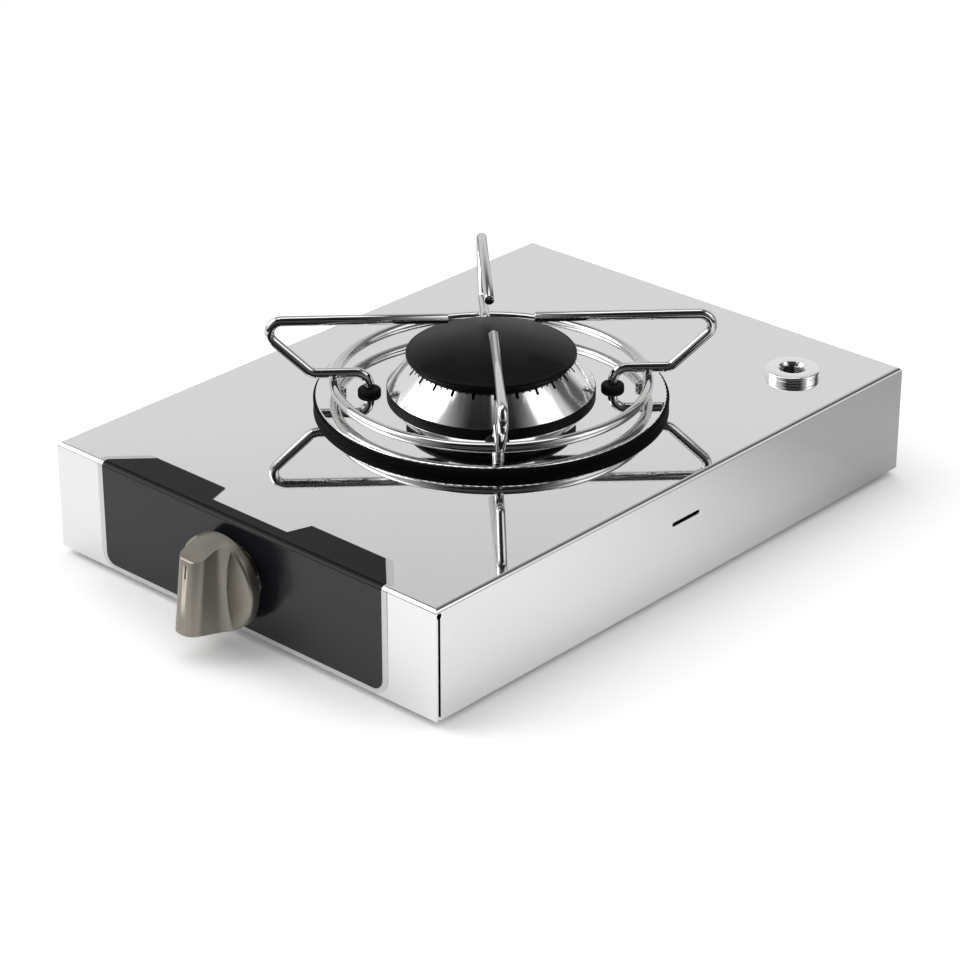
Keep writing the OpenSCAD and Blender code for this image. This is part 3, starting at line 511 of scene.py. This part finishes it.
def bar(name, outline, length):
    letGo()
    bpy.ops.mesh.primitive_plane_add(size=0.002, location=(outline[0][0] * mm, -length / 2 * mm, outline[0][1] * mm))
    piece = bpy.context.object
    piece.name = name
    settle(piece)
    openUp()
    bpy.ops.mesh.merge(type="CENTER")
    for (x0, z0), (x1, z1) in zip(outline, outline[1:]):
        bpy.ops.mesh.extrude_region_move(TRANSFORM_OT_translate={"value": ((x1 - x0) * mm, 0, (z1 - z0) * mm)})
    bpy.ops.mesh.select_all(action="SELECT")
    bpy.ops.mesh.edge_face_add()
    bpy.ops.mesh.extrude_region_move(TRANSFORM_OT_translate={"value": (0, length * mm, 0)})
    bpy.ops.mesh.select_all(action="SELECT")
    bpy.ops.mesh.remove_doubles(threshold=2e-6)
    bpy.ops.mesh.normals_make_consistent(inside=False)
    closeUp()
    return piece


def hand(piece, finish, body, slot, *nodes):
    dress(piece, finish)
    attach(piece, body)
    if nodes:
        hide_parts(*nodes)


arm = {
    "wireR": 2.2, "innerEnd": 18.4, "topZ": 34.05, "tipR": 88.95, "tipBend": 5.35, "tipAngle": 46,
    "lowZ": 9.55, "lowBend": 6.0, "legR": 52.3, "legBend": 6.0, "legEnd": -6.5, "sides": 28, "cutEdge": 0.25,
}


class WireBender:
    def __init__(self, name, at, radius, sides):
        letGo()
        bpy.ops.mesh.primitive_circle_add(vertices=sides, radius=radius, fill_type="NOTHING", location=at,
                                          rotation=(0, pi / 2, 0))
        self.piece = bpy.context.object
        self.piece.name = name
        settle(self.piece)
        openUp()
        self.at = Vector(at)
        self.heading = Vector((1, 0, 0))

    def run(self, length):
        bpy.ops.mesh.extrude_region_move(TRANSFORM_OT_translate={"value": self.heading * length})
        self.at = self.at + self.heading * length

    def flare(self, factor):
        bpy.ops.transform.resize(value=(factor, factor, factor), center_override=self.at)

    def bend(self, radius, angle, steps):
        turn = Matrix.Rotation(angle, 3, "Y")
        centre = self.at + self.centreWay(angle) * radius
        bpy.ops.mesh.spin(steps=steps, angle=-angle, center=centre, axis=(0, 1, 0))
        self.at = centre + turn @ (self.at - centre)
        self.heading = turn @ self.heading

    def centreWay(self, angle):
        way = Vector((self.heading.z, 0, -self.heading.x))     # to the right of the heading, seen from -Y
        return way if angle > 0 else -way

    def finish(self):
        bpy.ops.mesh.select_all(action="SELECT")
        bpy.ops.mesh.fill_holes(sides=0)
        bpy.ops.mesh.select_all(action="SELECT")
        bpy.ops.mesh.remove_doubles(threshold=2e-6)
        bpy.ops.mesh.normals_make_consistent(inside=False)
        closeUp()
        return self.piece


def bendArm():
    tip = radians(arm["tipAngle"])
    tipZ = arm["topZ"] - arm["tipBend"]
    lowC = arm["lowZ"] + arm["lowBend"]
    lowR = arm["tipR"] + (arm["tipBend"] - arm["lowBend"] + (lowC - tipZ) * sin(tip)) / cos(tip)
    start = burnerAt + Vector((arm["innerEnd"], 0, arm["topZ"])) * mm
    edge = arm["cutEdge"] * mm
    wireR = arm["wireR"] * mm
    bender = WireBender("arm_wire_front", start, wireR - edge, arm["sides"])
    bender.run(edge)
    bender.flare(wireR / (wireR - edge))
    bender.run((arm["tipR"] - arm["innerEnd"]) * mm - edge)
    bender.bend(arm["tipBend"] * mm, pi / 2 + tip, 20)
    outTip = Vector((cos(tip), 0, -sin(tip)))
    fromTip = Vector((arm["tipR"], 0, tipZ)) + outTip * arm["tipBend"]
    toLow = Vector((lowR, 0, lowC)) + outTip * arm["lowBend"]
    bender.run((toLow - fromTip).length * mm)
    bender.bend(arm["lowBend"] * mm, pi / 2 - tip, 10)
    bender.run((lowR - arm["legR"] - arm["legBend"]) * mm)
    bender.bend(arm["legBend"] * mm, -pi / 2, 14)
    bender.run((arm["lowZ"] - arm["legBend"] - arm["legEnd"]) * mm)
    return bender.finish()


firstArm = bendArm()
smooth(firstArm, 50)
armTurns = {"front": -135, "right": -45, "back": 45, "left": 135}
for side, turn in armTurns.items():
    wire = copyTurned(firstArm, "arm_wire_" + side, radians(turn), burnerAt)
    hand(wire, wireChrome, "pan_support", "wire", "pan_arm_" + side)
bpy.data.objects.remove(firstArm)

ring = {"middleR": 67.4, "up": 5.35, "wireR": 2.2}


def bendRing():
    at = burnerAt + Vector((ring["middleR"], 0, ring["up"])) * mm
    letGo()
    bpy.ops.mesh.primitive_circle_add(vertices=28, radius=ring["wireR"] * mm, fill_type="NOTHING", location=at,
                                      rotation=(pi / 2, 0, 0))
    piece = bpy.context.object
    piece.name = "ring_wire"
    settle(piece)
    openUp()
    bpy.ops.mesh.spin(steps=180, angle=2 * pi, center=burnerAt, axis=(0, 0, 1))
    bpy.ops.mesh.select_all(action="SELECT")
    bpy.ops.mesh.remove_doubles(threshold=2e-6)
    bpy.ops.mesh.normals_make_consistent(inside=False)
    closeUp()
    return piece


ringWire = bendRing()
smooth(ringWire, 60)
hand(ringWire, wireChrome, "pan_support", "wire", "pan_ring")
print("pan support bent")


crown = {"footR": 45.0, "footIn": 41.0, "ringH": 2.35, "high": 14.4, "topR": 34.4, "lip": 30.5, "chamber": 38.0,
         "floor": 6.0, "slots": 24, "slotW": 1.3, "slotDepth": 2.3, "notchW": 0.8}


def turnCrown():
    c = crown
    corners = [(c["footIn"], c["ringH"], 0), (c["footR"], c["ringH"], 0.25), (c["topR"], c["high"], 0.3),
               (c["lip"], c["high"], 0.3), (c["chamber"], c["floor"], 0), (c["footIn"], c["ringH"], 0)]
    piece = lathe("crown_cone", corners, burnerAt, 192, 4)
    slotCutters = []
    reach = 12 * mm
    for index in range(c["slots"]):
        angle = 2 * pi * index / c["slots"]
        for part, width, depth in ((0, c["slotW"], c["slotDepth"]), (1, c["notchW"], c["notchW"]),
                                   (2, c["notchW"], c["notchW"])):
            turn = angle + part * 2 * pi / c["slots"] / 3
            up = (c["high"] - depth) * mm + reach / 2
            at = burnerAt + Vector((cos(turn) * c["topR"], sin(turn) * c["topR"], 0)) * mm + Vector((0, 0, up))
            slotCutters.append(block("slot_cutter", (reach, width * mm, reach), at, (0, 0, turn)))
    cut(piece, joined(slotCutters, "slot_cutters"))
    breakEdges(piece, 0.12 * mm, 1, 50)
    smooth(piece, 30)
    return piece


crownCone = turnCrown()
hand(crownCone, crownAlloy, "crown", "polished_alloy", "burner_crown")

cap = {"seatR": 34.6, "seatH": 2.35, "rimR": 36.7, "rimT": 2.0, "edge": 0.8, "high": 10.3, "recessR": 26.0,
       "recessH": 4.5, "lugR": 30.2, "lugW": 6.0, "lugT": 2.5, "lugH": 3.0, "lugs": 3}


def domeCorners():
    inner = cap["rimR"] - cap["edge"]
    rise = cap["high"] - cap["seatH"] - cap["rimT"]
    domeR = (inner ** 2 + rise ** 2) / (2 * rise)
    spots = []
    for step in range(25):
        out = inner * (1 - step / 24)
        spots.append((out, cap["high"] - domeR + sqrt(domeR ** 2 - out ** 2), 0))
    return spots


def pressCap():
    corners = [(0.0, cap["recessH"], 0), (cap["recessR"], cap["recessH"], 0.8), (cap["recessR"], 0, 0.4),
               (cap["seatR"], 0, 0.3), (cap["seatR"], cap["seatH"], 0.3), (cap["rimR"], cap["seatH"], 0.7),
               (cap["rimR"], cap["seatH"] + cap["rimT"], 0.75)] + domeCorners()
    piece = lathe("cap_dome", corners, burnerAt + Vector((0, 0, crown["high"])) * mm, 160, 6)
    lugBlocks = []
    for index in range(cap["lugs"]):
        turn = radians(30) + index * 2 * pi / cap["lugs"]
        out = (cap["lugR"] - cap["lugT"] / 2) * mm
        at = burnerAt + Vector((cos(turn) * out, sin(turn) * out, (crown["high"] + 0.25 - cap["lugH"] / 2) * mm))
        lugBlocks.append(block("lug", (cap["lugT"] * mm, cap["lugW"] * mm, (cap["lugH"] + 0.5) * mm), at, (0, 0, turn)))
    cut(piece, joined(lugBlocks, "lug_blocks"), "UNION")
    smooth(piece, 35)
    return piece


capDome = pressCap()
hand(capDome, capEnamel, "cap", "enamel", "burner_cap")
print("crown and cap turned")


boot = {"headR": 5.05, "headH": 2.4, "neckR": 3.75, "depth": 6.5, "floor": 1.0, "holeR": 2.27, "legR": 52.3, "plateT": 1.0}


def mouldBoots():
    b = boot
    at = burnerAt + Vector((b["legR"], 0, 0)) * mm
    corners = [(0, -b["depth"], 0), (b["holeR"], -b["depth"], 0), (b["holeR"], b["headH"], 0.35),
               (b["headR"], b["headH"], 1.35), (b["headR"], 0, 0.25), (b["neckR"], 0, 0), (b["neckR"], -b["plateT"], 0),
               (b["headR"], -b["plateT"], 0.3), (b["headR"], -b["depth"] - b["floor"], 0.8), (0, -b["depth"] - b["floor"], 0)]
    first = lathe("boot", corners, at, 48, 5)
    smooth(first, 40)
    boots = [copyTurned(first, "boot_copy", radians(45 + 90 * i), burnerAt) for i in range(4)]
    bpy.data.objects.remove(first)
    return joined(boots, "leg_sockets")


hand(mouldBoots(), blackRubber, "base", "rubber", "leg_grommets")

gasket = {"innerR": 59.0, "outerR": 76.6, "footR": 76.4, "top": -1.0, "bottom": -4.45, "edge": 0.5, "holeR": 1.6,
          "holeAt": 64.2}


def mouldGasket():
    g = gasket
    corners = [(g["innerR"], g["bottom"], 0), (g["innerR"], g["top"], 0), (g["outerR"], g["top"], g["edge"]),
               (g["footR"], g["bottom"], 0.2), (g["innerR"], g["bottom"], 0)]
    piece = lathe("gasket_ring", corners, burnerAt, 160, 5)
    for quarter in range(4):
        spot = Matrix.Rotation(radians(45 + 90 * quarter), 3, "Z") @ Vector((g["holeAt"], 0, -3)) * mm
        letGo()
        bpy.ops.mesh.primitive_cylinder_add(vertices=32, radius=g["holeR"] * mm, depth=8 * mm,
                                            location=burnerAt + spot)
        drill = bpy.context.object
        settle(drill)
        cut(piece, drill)
    smooth(piece, 35)
    return piece


hand(mouldGasket(), gasketRubber, "base", "rubber", "plate_gasket")

plateScrew = {"at": 64.2, "headR": 2.15, "headH": 2.7, "edge": 0.4, "shankR": 1.25, "keyR": 1.15, "keyH": 1.3,
              "under": 8.45}


def turnPlateScrews():
    s = plateScrew
    at = burnerAt + Vector((s["at"], 0, 0)) * mm
    corners = [(0, s["headH"], 0), (s["headR"], s["headH"], s["edge"]), (s["headR"], 0, 0.1), (s["shankR"], 0, 0),
               (s["shankR"], -s["under"], 0.3), (0, -s["under"], 0)]
    first = lathe("plate_screw", corners, at, 48, 4)
    letGo()
    bpy.ops.mesh.primitive_cylinder_add(vertices=6, radius=s["keyR"] * mm, depth=2 * s["keyH"] * mm,
                                        location=at + Vector((0, 0, s["headH"] * mm)))
    key = bpy.context.object
    settle(key)
    cut(first, key)
    breakEdges(first, 0.08 * mm, 1, 50)
    smooth(first, 35)
    screws = [copyTurned(first, "plate_screw_copy", radians(45 + 90 * i), burnerAt) for i in range(4)]
    bpy.data.objects.remove(first)
    return joined(screws, "plate_socket_screws")


hand(turnPlateScrews(), screwSteel, "base", "zinc_steel", "plate_screws")
print("sockets and screws in place")


inlet = {"flangeR": 12.1, "flangeH": 3.2, "edge": 0.8, "stemR": 8.0, "stemL": 7.2, "tailR": 5.0, "tailL": 6.0,
         "holeR": 4.28, "holeDepth": 9.0, "mouthR": 6.35, "boreR": 2.0, "pitch": 0.907, "turns": 8, "crest": 0.58,
         "groove": 1.45}


def turnInlet():
    i = inlet
    throat = i["flangeH"] - i["mouthR"] + i["holeR"]
    wall = i["holeR"] + i["crest"]
    corners = [(i["boreR"], -i["stemL"] - i["tailL"], 0), (i["boreR"], i["flangeH"] - i["holeDepth"], 0),
               (wall, i["flangeH"] - i["holeDepth"], 0), (wall, throat + i["crest"], 0.05),
               (i["mouthR"], i["flangeH"], 0.12), (i["flangeR"], i["flangeH"], i["edge"]),
               (i["flangeR"], i["groove"] + 0.3, 0.1), (i["flangeR"] - 0.4, i["groove"], 0.05),
               (i["flangeR"], i["groove"] - 0.3, 0.1), (i["flangeR"], 0, 0.1), (i["stemR"], 0, 0), (i["stemR"], -i["stemL"], 0.4), (i["tailR"], -i["stemL"], 0),
               (i["tailR"], -i["stemL"] - i["tailL"], 0.3), (i["boreR"], -i["stemL"] - i["tailL"], 0)]
    return lathe("inlet_body", corners, inletAt, 96, 5)


def cutThread():
    i = inlet
    step = i["pitch"]
    low = i["flangeH"] - i["holeDepth"] + 0.05
    wall = i["holeR"] + i["crest"]
    points = [(wall, low), (i["holeR"] + 0.08, low + step * 0.42), (i["holeR"] + 0.08, low + step * 0.58), (wall, low + step)]
    points = [inletAt + Vector((x, 0, z)) * mm for x, z in points]
    letGo()
    bpy.ops.mesh.primitive_plane_add(size=0.002, location=points[0])
    piece = bpy.context.object
    piece.name = "inlet_thread"
    settle(piece)
    openUp()
    bpy.ops.mesh.merge(type="CENTER")
    for here, there in zip(points, points[1:]):
        bpy.ops.mesh.extrude_region_move(TRANSFORM_OT_translate={"value": there - here})
    closeUp()
    middle = bpy.data.objects.new("inlet_axis", None)
    bpy.context.scene.collection.objects.link(middle)
    middle.location = inletAt
    bpy.context.view_layer.update()
    screw = piece.modifiers.new("thread", "SCREW")
    screw.object = middle
    screw.angle = 2 * pi
    screw.screw_offset = step * mm
    screw.iterations = i["turns"]
    screw.steps = 48
    screw.render_steps = 48
    screw.use_merge_vertices = True
    applyAll(piece)
    bpy.data.objects.remove(middle)
    take(piece)
    openUp()
    bpy.ops.mesh.remove_doubles(threshold=2e-6)
    bpy.ops.mesh.normals_make_consistent(inside=True)
    closeUp()
    return piece


inletBody = turnInlet()
inletThread = cutThread()
smooth(inletBody, 35)
smooth(inletThread, 25)
hand(joined([inletBody, inletThread], "inlet_fitting"), steelInlet, "base", "stainless", "inlet_boss")
print("gas inlet cut")


knob = {"r": 20.6, "gap": 5.6, "skirt": 4.7, "edge": 1.2, "bulge": 1.8, "grip": 6.5, "gripEdge": 4.6, "fillet": 7.0,
        "face": 27.5,
        "slope": 0.13, "taper": 0.25, "draft": 0.05, "hub": 8.0, "hollow": 18.4, "hollowT": 3.0, "shaftR": 4.05,
        "shaftIn": 20.3, "markW": 0.9, "markAt": 8.2, "markL": 5.8, "markDeep": 0.35,
        "drop": 4.2, "roll": 1.6, "sink": 1.1}


def flankCurve(foot):
    radius = knob["fillet"]
    points = []
    for step in range(9):                      # fillet from the skirt up into the flank
        angle = pi / 2 * step / 8
        points.append((-knob["grip"] - radius + sin(angle) * radius, foot + radius - cos(angle) * radius))
    return points


def carveKnob():
    k = knob
    skirt = k["gap"] + k["skirt"]
    # the local frame of the knob: x across, y up the grip, z out of the front wall
    faceAngle = atan(k["slope"])
    taperAngle = atan(k["taper"])
    spread = k["grip"] + k["fillet"]
    flank = flankCurve(skirt - k["sink"])
    # flanks and fillets, extruded along the grip
    outline = [(-spread, skirt - 2.5)] + flank + [(-k["grip"], 44.0), (k["grip"], 44.0)]
    outline += [(-x, z) for x, z in reversed(flank)] + [(spread, skirt - 2.5)]
    grip = bar("knob_grip", outline, 2 * k["r"] + 20)
    # the sloping face with its rounded long corners
    r = k["gripEdge"]
    arch = [(-k["grip"], -30.0)]
    for step in range(11):
        angle = pi / 2 * step / 10
        arch.append((-k["grip"] + r - cos(angle) * r, -r + sin(angle) * r))
    arch += [(-x, z) for x, z in reversed(arch)]
    wide = [(-30.0, -30.0)] + [(-30.0, -k["face"] + skirt + k["fillet"] + 3.5)]
    wide += [(-k["grip"], -k["face"] + skirt + k["fillet"] + 3.5)] + arch[1:-1]
    wide += [(k["grip"], -k["face"] + skirt + k["fillet"] + 3.5), (30.0, -k["face"] + skirt + k["fillet"] + 3.5), (30.0, -30.0)]
    crownBar = bar("knob_face", wide, 120)
    crownBar.data.transform(Matrix.Translation((0, 0, k["face"] * mm)) @ Matrix.Rotation(-faceAngle, 4, "X"))
    cut(grip, crownBar, "INTERSECT")
    # round ends with a little draft
    letGo()
    bpy.ops.mesh.primitive_cone_add(vertices=160, radius1=k["r"] * mm, radius2=k["r"] * (1 - k["draft"] * 1.5) * mm,
                                    depth=k["r"] * 1.5 * mm, location=(0, 0, (skirt - 1 + k["r"] * 0.75) * mm))
    drum = bpy.context.object
    settle(drum)
    cut(grip, drum, "INTERSECT")
    # the lower end leans in towards the face
    letGo()
    bpy.ops.mesh.primitive_cylinder_add(vertices=160, radius=k["r"] * mm, depth=6 * k["r"] * mm, location=(0, k["r"] * mm, 0))
    lean = bpy.context.object
    settle(lean)
    lean.data.transform(Matrix.Translation((0, -k["r"] * mm, skirt * mm)) @ Matrix.Rotation(-taperAngle, 4, "X"))
    cut(grip, lean, "INTERSECT")
    # the upper end leans back and turns over into the face
    topY, endY, r = k["r"] + 0.1, k["r"] - k["drop"], k["roll"]
    topZ = k["face"] - k["slope"] * (endY - r)
    side = [(-40.0, -5.0), (topY, -5.0), (topY, skirt)]
    for step in range(9):
        angle = pi / 2 * step / 8
        side.append((endY - r * (1 - cos(angle)), topZ - r * (1 - sin(angle))))
    side.append((-40.0, topZ + k["slope"] * (endY - r + 40.0) + 0.05))
    roll = bar("knob_roll", side, 80)
    roll.data.transform(Matrix.Rotation(pi / 2, 4, "Z"))
    cut(grip, roll, "INTERSECT")
    # the round skirt, hollow behind, with the hub for the shaft
    spots = [k["r"] * step / 6 for step in range(6)]
    corners = [(out, skirt + k["bulge"] * (1 - (out / k["r"]) ** 2), 0) for out in spots]
    corners += [(k["r"], skirt, k["edge"]), (k["r"], k["gap"], 0.3), (k["hollow"], k["gap"], 0.2),
               (k["hollow"], k["gap"] + k["hollowT"], 0.6), (k["hub"], k["gap"] + k["hollowT"], 0.6),
               (k["hub"], k["gap"], 0.2), (k["shaftR"], k["gap"], 0.2), (k["shaftR"], k["shaftIn"], 0.2), (0, k["shaftIn"], 0)]
    body = lathe("knob_body", corners[:-2] + [(k["shaftR"], skirt - 2, 0), (0, skirt - 2, 0)], Vector((0, 0, 0)), 160, 5)
    cut(body, grip, "UNION")
    # bore for the shaft, with its flat
    letGo()
    bpy.ops.mesh.primitive_cylinder_add(vertices=64, radius=k["shaftR"] * mm, depth=k["shaftIn"] * mm,
                                        location=(0, 0, k["shaftIn"] * mm / 2))
    bore = bpy.context.object
    settle(bore)
    cut(body, bore)
    slit = block("knob_slit", (k["markW"] * mm, k["markL"] * mm, 4 * mm), (0, (k["markAt"] + k["markL"] / 2) * mm, (2 - k["markDeep"]) * mm))
    slit.data.transform(Matrix.Translation((0, 0, k["face"] * mm)) @ Matrix.Rotation(-faceAngle, 4, "X"))
    cut(body, slit)
    breakEdges(body, 0.35 * mm, 3, 32)
    smooth(body, 32)
    # up the grip is +Z in the scene, out of the wall is -Y
    body.data.transform(Matrix.Translation(knobAt) @ Matrix.Rotation(pi / 2, 4, "X"))
    return body


def layMark():
    k = knob
    thick = k["markDeep"] - 0.1
    mark = block("pointer_line", ((k["markW"] - 0.06) * mm, (k["markL"] - 0.06) * mm, thick * mm),
                 (0, (k["markAt"] + k["markL"] / 2) * mm, (thick / 2 - k["markDeep"] + 0.02) * mm))
    mark.data.transform(Matrix.Translation((0, 0, k["face"] * mm)) @ Matrix.Rotation(-atan(k["slope"]), 4, "X"))
    mark.data.transform(Matrix.Translation(knobAt) @ Matrix.Rotation(pi / 2, 4, "X"))
    return mark


knobBody = carveKnob()
hand(knobBody, knobNickel, "knob_unit", "satin_nickel", "knob")
hand(layMark(), blackMark, "knob_unit", "mark_paint", "knob_mark")
print("knob carved")


camera = {"at": (0.82497, -0.89475, 0.62811), "back": (0.6035, -0.6607, 0.4464), "lens": 118.51, "sensor": 36.0}


def setCamera():
    data = bpy.data.cameras.new("camera")
    data.lens = camera["lens"]
    data.sensor_width = camera["sensor"]
    data.clip_start = 0.05
    data.clip_end = 60
    eye = bpy.data.objects.new("camera", data)
    eye.location = camera["at"]
    eye.rotation_mode = "QUATERNION"
    eye.rotation_quaternion = (-Vector(camera["back"])).to_track_quat("-Z", "Y")
    bpy.context.scene.collection.objects.link(eye)
    bpy.context.scene.camera = eye


setCamera()

light = {"worldLevel": 0.86, "backLevel": 0.79, "nearLevel": 0.65, "overheadLevel": 0.05, "frontLevel": 0.010,
         "doorLevel": 0.10, "lowLevel": 0.13}


def setWorld():
    world = bpy.data.worlds.new("studio")
    bpy.context.scene.world = world
    finish = Finish("studio", world)
    way = finish.node("ShaderNodeTexCoord").outputs["Generated"]
    parts = finish.node("ShaderNodeSeparateXYZ", {}, {0: way})
    up = finish.value(parts.outputs[2])
    back = Vector(camera["back"])
    flat = Vector((back.x, back.y)).normalized()
    level = finish.value(parts.outputs[0]) * flat.x + finish.value(parts.outputs[1]) * flat.y
    side = level / ((1.0001 - up * up) ** 0.5)
    # far side: an even pale wall that falls off towards the ceiling
    wall = finish.ramp(up, [(0.0, light["backLevel"]), (0.43, light["backLevel"]), (0.485, light["nearLevel"]),
                            (0.58, light["nearLevel"]), (0.80, 0.16), (1.0, light["overheadLevel"])])
    # camera side: the unlit room, with a dim screen low in it
    room = finish.ramp(up, [(0.10, light["frontLevel"]), (0.15, light["lowLevel"]), (0.33, light["lowLevel"]),
                            (0.39, light["frontLevel"]), (0.75, light["frontLevel"]), (0.95, 0.035),
                            (1.0, light["overheadLevel"])])
    towards = finish.ramp(side * 0.5 + 0.5, [(0.72, 0.0), (0.93, 1.0)])
    # right of the far wall: a dark doorway
    across = finish.value(parts.outputs[0]) * -flat.y + finish.value(parts.outputs[1]) * flat.x
    door = finish.value(finish.ramp(side * 0.5 + 0.5, [(0.14, 0.0), (0.20, 1.0), (0.37, 1.0), (0.43, 0.0)]))
    door = door * finish.value(finish.ramp(across, [(0.0, 0.0), (0.1, 1.0)]))
    wall = finish.blend(door, wall, colour(light["doorLevel"], light["doorLevel"], light["doorLevel"]))
    seen = finish.blend(towards, wall, room)
    path = finish.node("ShaderNodeLightPath")
    camRay = finish.value(path.outputs["Is Camera Ray"])
    glossRay = finish.value(path.outputs["Is Glossy Ray"])
    plain = finish.blend(glossRay, colour(light["worldLevel"], light["worldLevel"], light["worldLevel"]), seen)
    shown = finish.blend(camRay, plain, colour(1, 1, 1))
    sky = finish.node("ShaderNodeBackground", {}, {"Color": shown, "Strength": 1.0})
    finish.links.new(sky.outputs[0], finish.output.inputs[0])


setWorld()

lamps = {
    "left": {"at": (-1.15, -0.85, 1.05), "size": (1.3, 1.4), "power": 13},
    "right": {"at": (1.32, 0.69, 1.15), "size": (0.8, 1.2), "power": 3},
    "over": {"at": (-0.3, 0.1, 1.7), "size": (1.5, 0.8), "power": 6},
}


def hangLamps():
    for name, spec in lamps.items():
        data = bpy.data.lights.new("lamp_" + name, "AREA")
        data.shape = "RECTANGLE"
        data.size, data.size_y = spec["size"]
        data.energy = spec["power"]
        lamp = bpy.data.objects.new("lamp_" + name, data)
        lamp.location = spec["at"]
        lamp.rotation_mode = "QUATERNION"
        lamp.rotation_quaternion = (Vector((0, 0, 0.05)) - Vector(spec["at"])).to_track_quat("-Z", "Y")
        bpy.context.scene.collection.objects.link(lamp)


hangLamps()


def place(metres):
    return metres * 2 + 0.5


# painted shade on the floor where the steel mirrors it: how bright it is, by metres to the back, to the side and
# towards the camera
mirroredShade = {
    "back": [(place(-0.12), 1.0), (place(-0.03), 0.98), (place(0.01), 0.93), (place(0.05), 0.86), (place(0.09), 0.75),
             (place(0.13), 0.59), (place(0.165), 0.46), (place(0.24), 0.40)],
    "side": [(place(-0.17), 0.84), (place(-0.02), 0.95), (place(0.10), 1.0), (place(0.125), 1.0), (place(0.18), 0.90)],
    "front": [(place(0.20), 1.0), (place(0.27), 0.03)],
}


def layFloor():
    letGo()
    bpy.ops.mesh.primitive_plane_add(size=12, location=(0, 0, 0))
    floor = bpy.context.object
    floor.name = "floor"
    openUp()
    bpy.ops.mesh.subdivide(number_cuts=3)
    closeUp()
    finish = Finish("floor_paper")
    place = finish.node("ShaderNodeTexCoord").outputs["Object"]
    far = finish.node("ShaderNodeVectorMath", {"operation": "LENGTH"}, {0: place})
    fade = finish.ramp(finish.value(far.outputs["Value"]), [(0.26, 0.0), (0.60, 1.0)])
    fibre = finish.noise(place, 300, 3, 0.5)
    path = finish.node("ShaderNodeLightPath")
    # painted shade: where only the steel mirrors it, the paper is darker towards the back right and dark towards the
    # camera
    spots = finish.node("ShaderNodeSeparateXYZ", {}, {0: place})
    deep = finish.ramp(finish.value(spots.outputs[1]) * 2 + 0.5, mirroredShade["back"])
    wide = finish.ramp(finish.value(spots.outputs[0]) * 2 + 0.5, mirroredShade["side"])
    shade = finish.node("ShaderNodeMix", {"data_type": "RGBA", "blend_type": "MULTIPLY"}, {0: 1.0, 6: deep, 7: wide}).outputs[2]
    back = Vector(camera["back"][:2]).normalized()
    near = finish.value(spots.outputs[0]) * back.x + finish.value(spots.outputs[1]) * back.y
    unlit = finish.ramp(near * 2 + 0.5, mirroredShade["front"])
    shade = finish.node("ShaderNodeMix", {"data_type": "RGBA", "blend_type": "MULTIPLY"}, {0: 1.0, 6: shade, 7: unlit}).outputs[2]
    shade = finish.blend(path.outputs["Is Glossy Ray"], colour(1, 1, 1), shade)
    bright = finish.blend(fibre, colour(0.93, 0.93, 0.93), colour(0.95, 0.95, 0.95))
    bright = finish.node("ShaderNodeMix", {"data_type": "RGBA", "blend_type": "MULTIPLY"}, {0: 1.0, 6: bright, 7: shade}).outputs[2]
    paper = finish.node("ShaderNodeBsdfDiffuse", {}, {"Color": bright})
    white = finish.node("ShaderNodeEmission", {}, {"Color": shade, "Strength": 1.0})
    seen = finish.value(path.outputs["Is Camera Ray"]) + finish.value(path.outputs["Is Glossy Ray"])
    seen = (seen + finish.value(path.outputs["Is Transmission Ray"])).least(1.0)
    mixed = finish.node("ShaderNodeMixShader", {}, {0: seen * finish.value(fade), 1: paper.outputs[0], 2: white.outputs[0]})
    finish.links.new(mixed.outputs[0], finish.output.inputs[0])
    dress(floor, finish.holder)


layFloor()
bpy.context.scene.view_settings.view_transform = "Standard"
print("room, light and camera set")
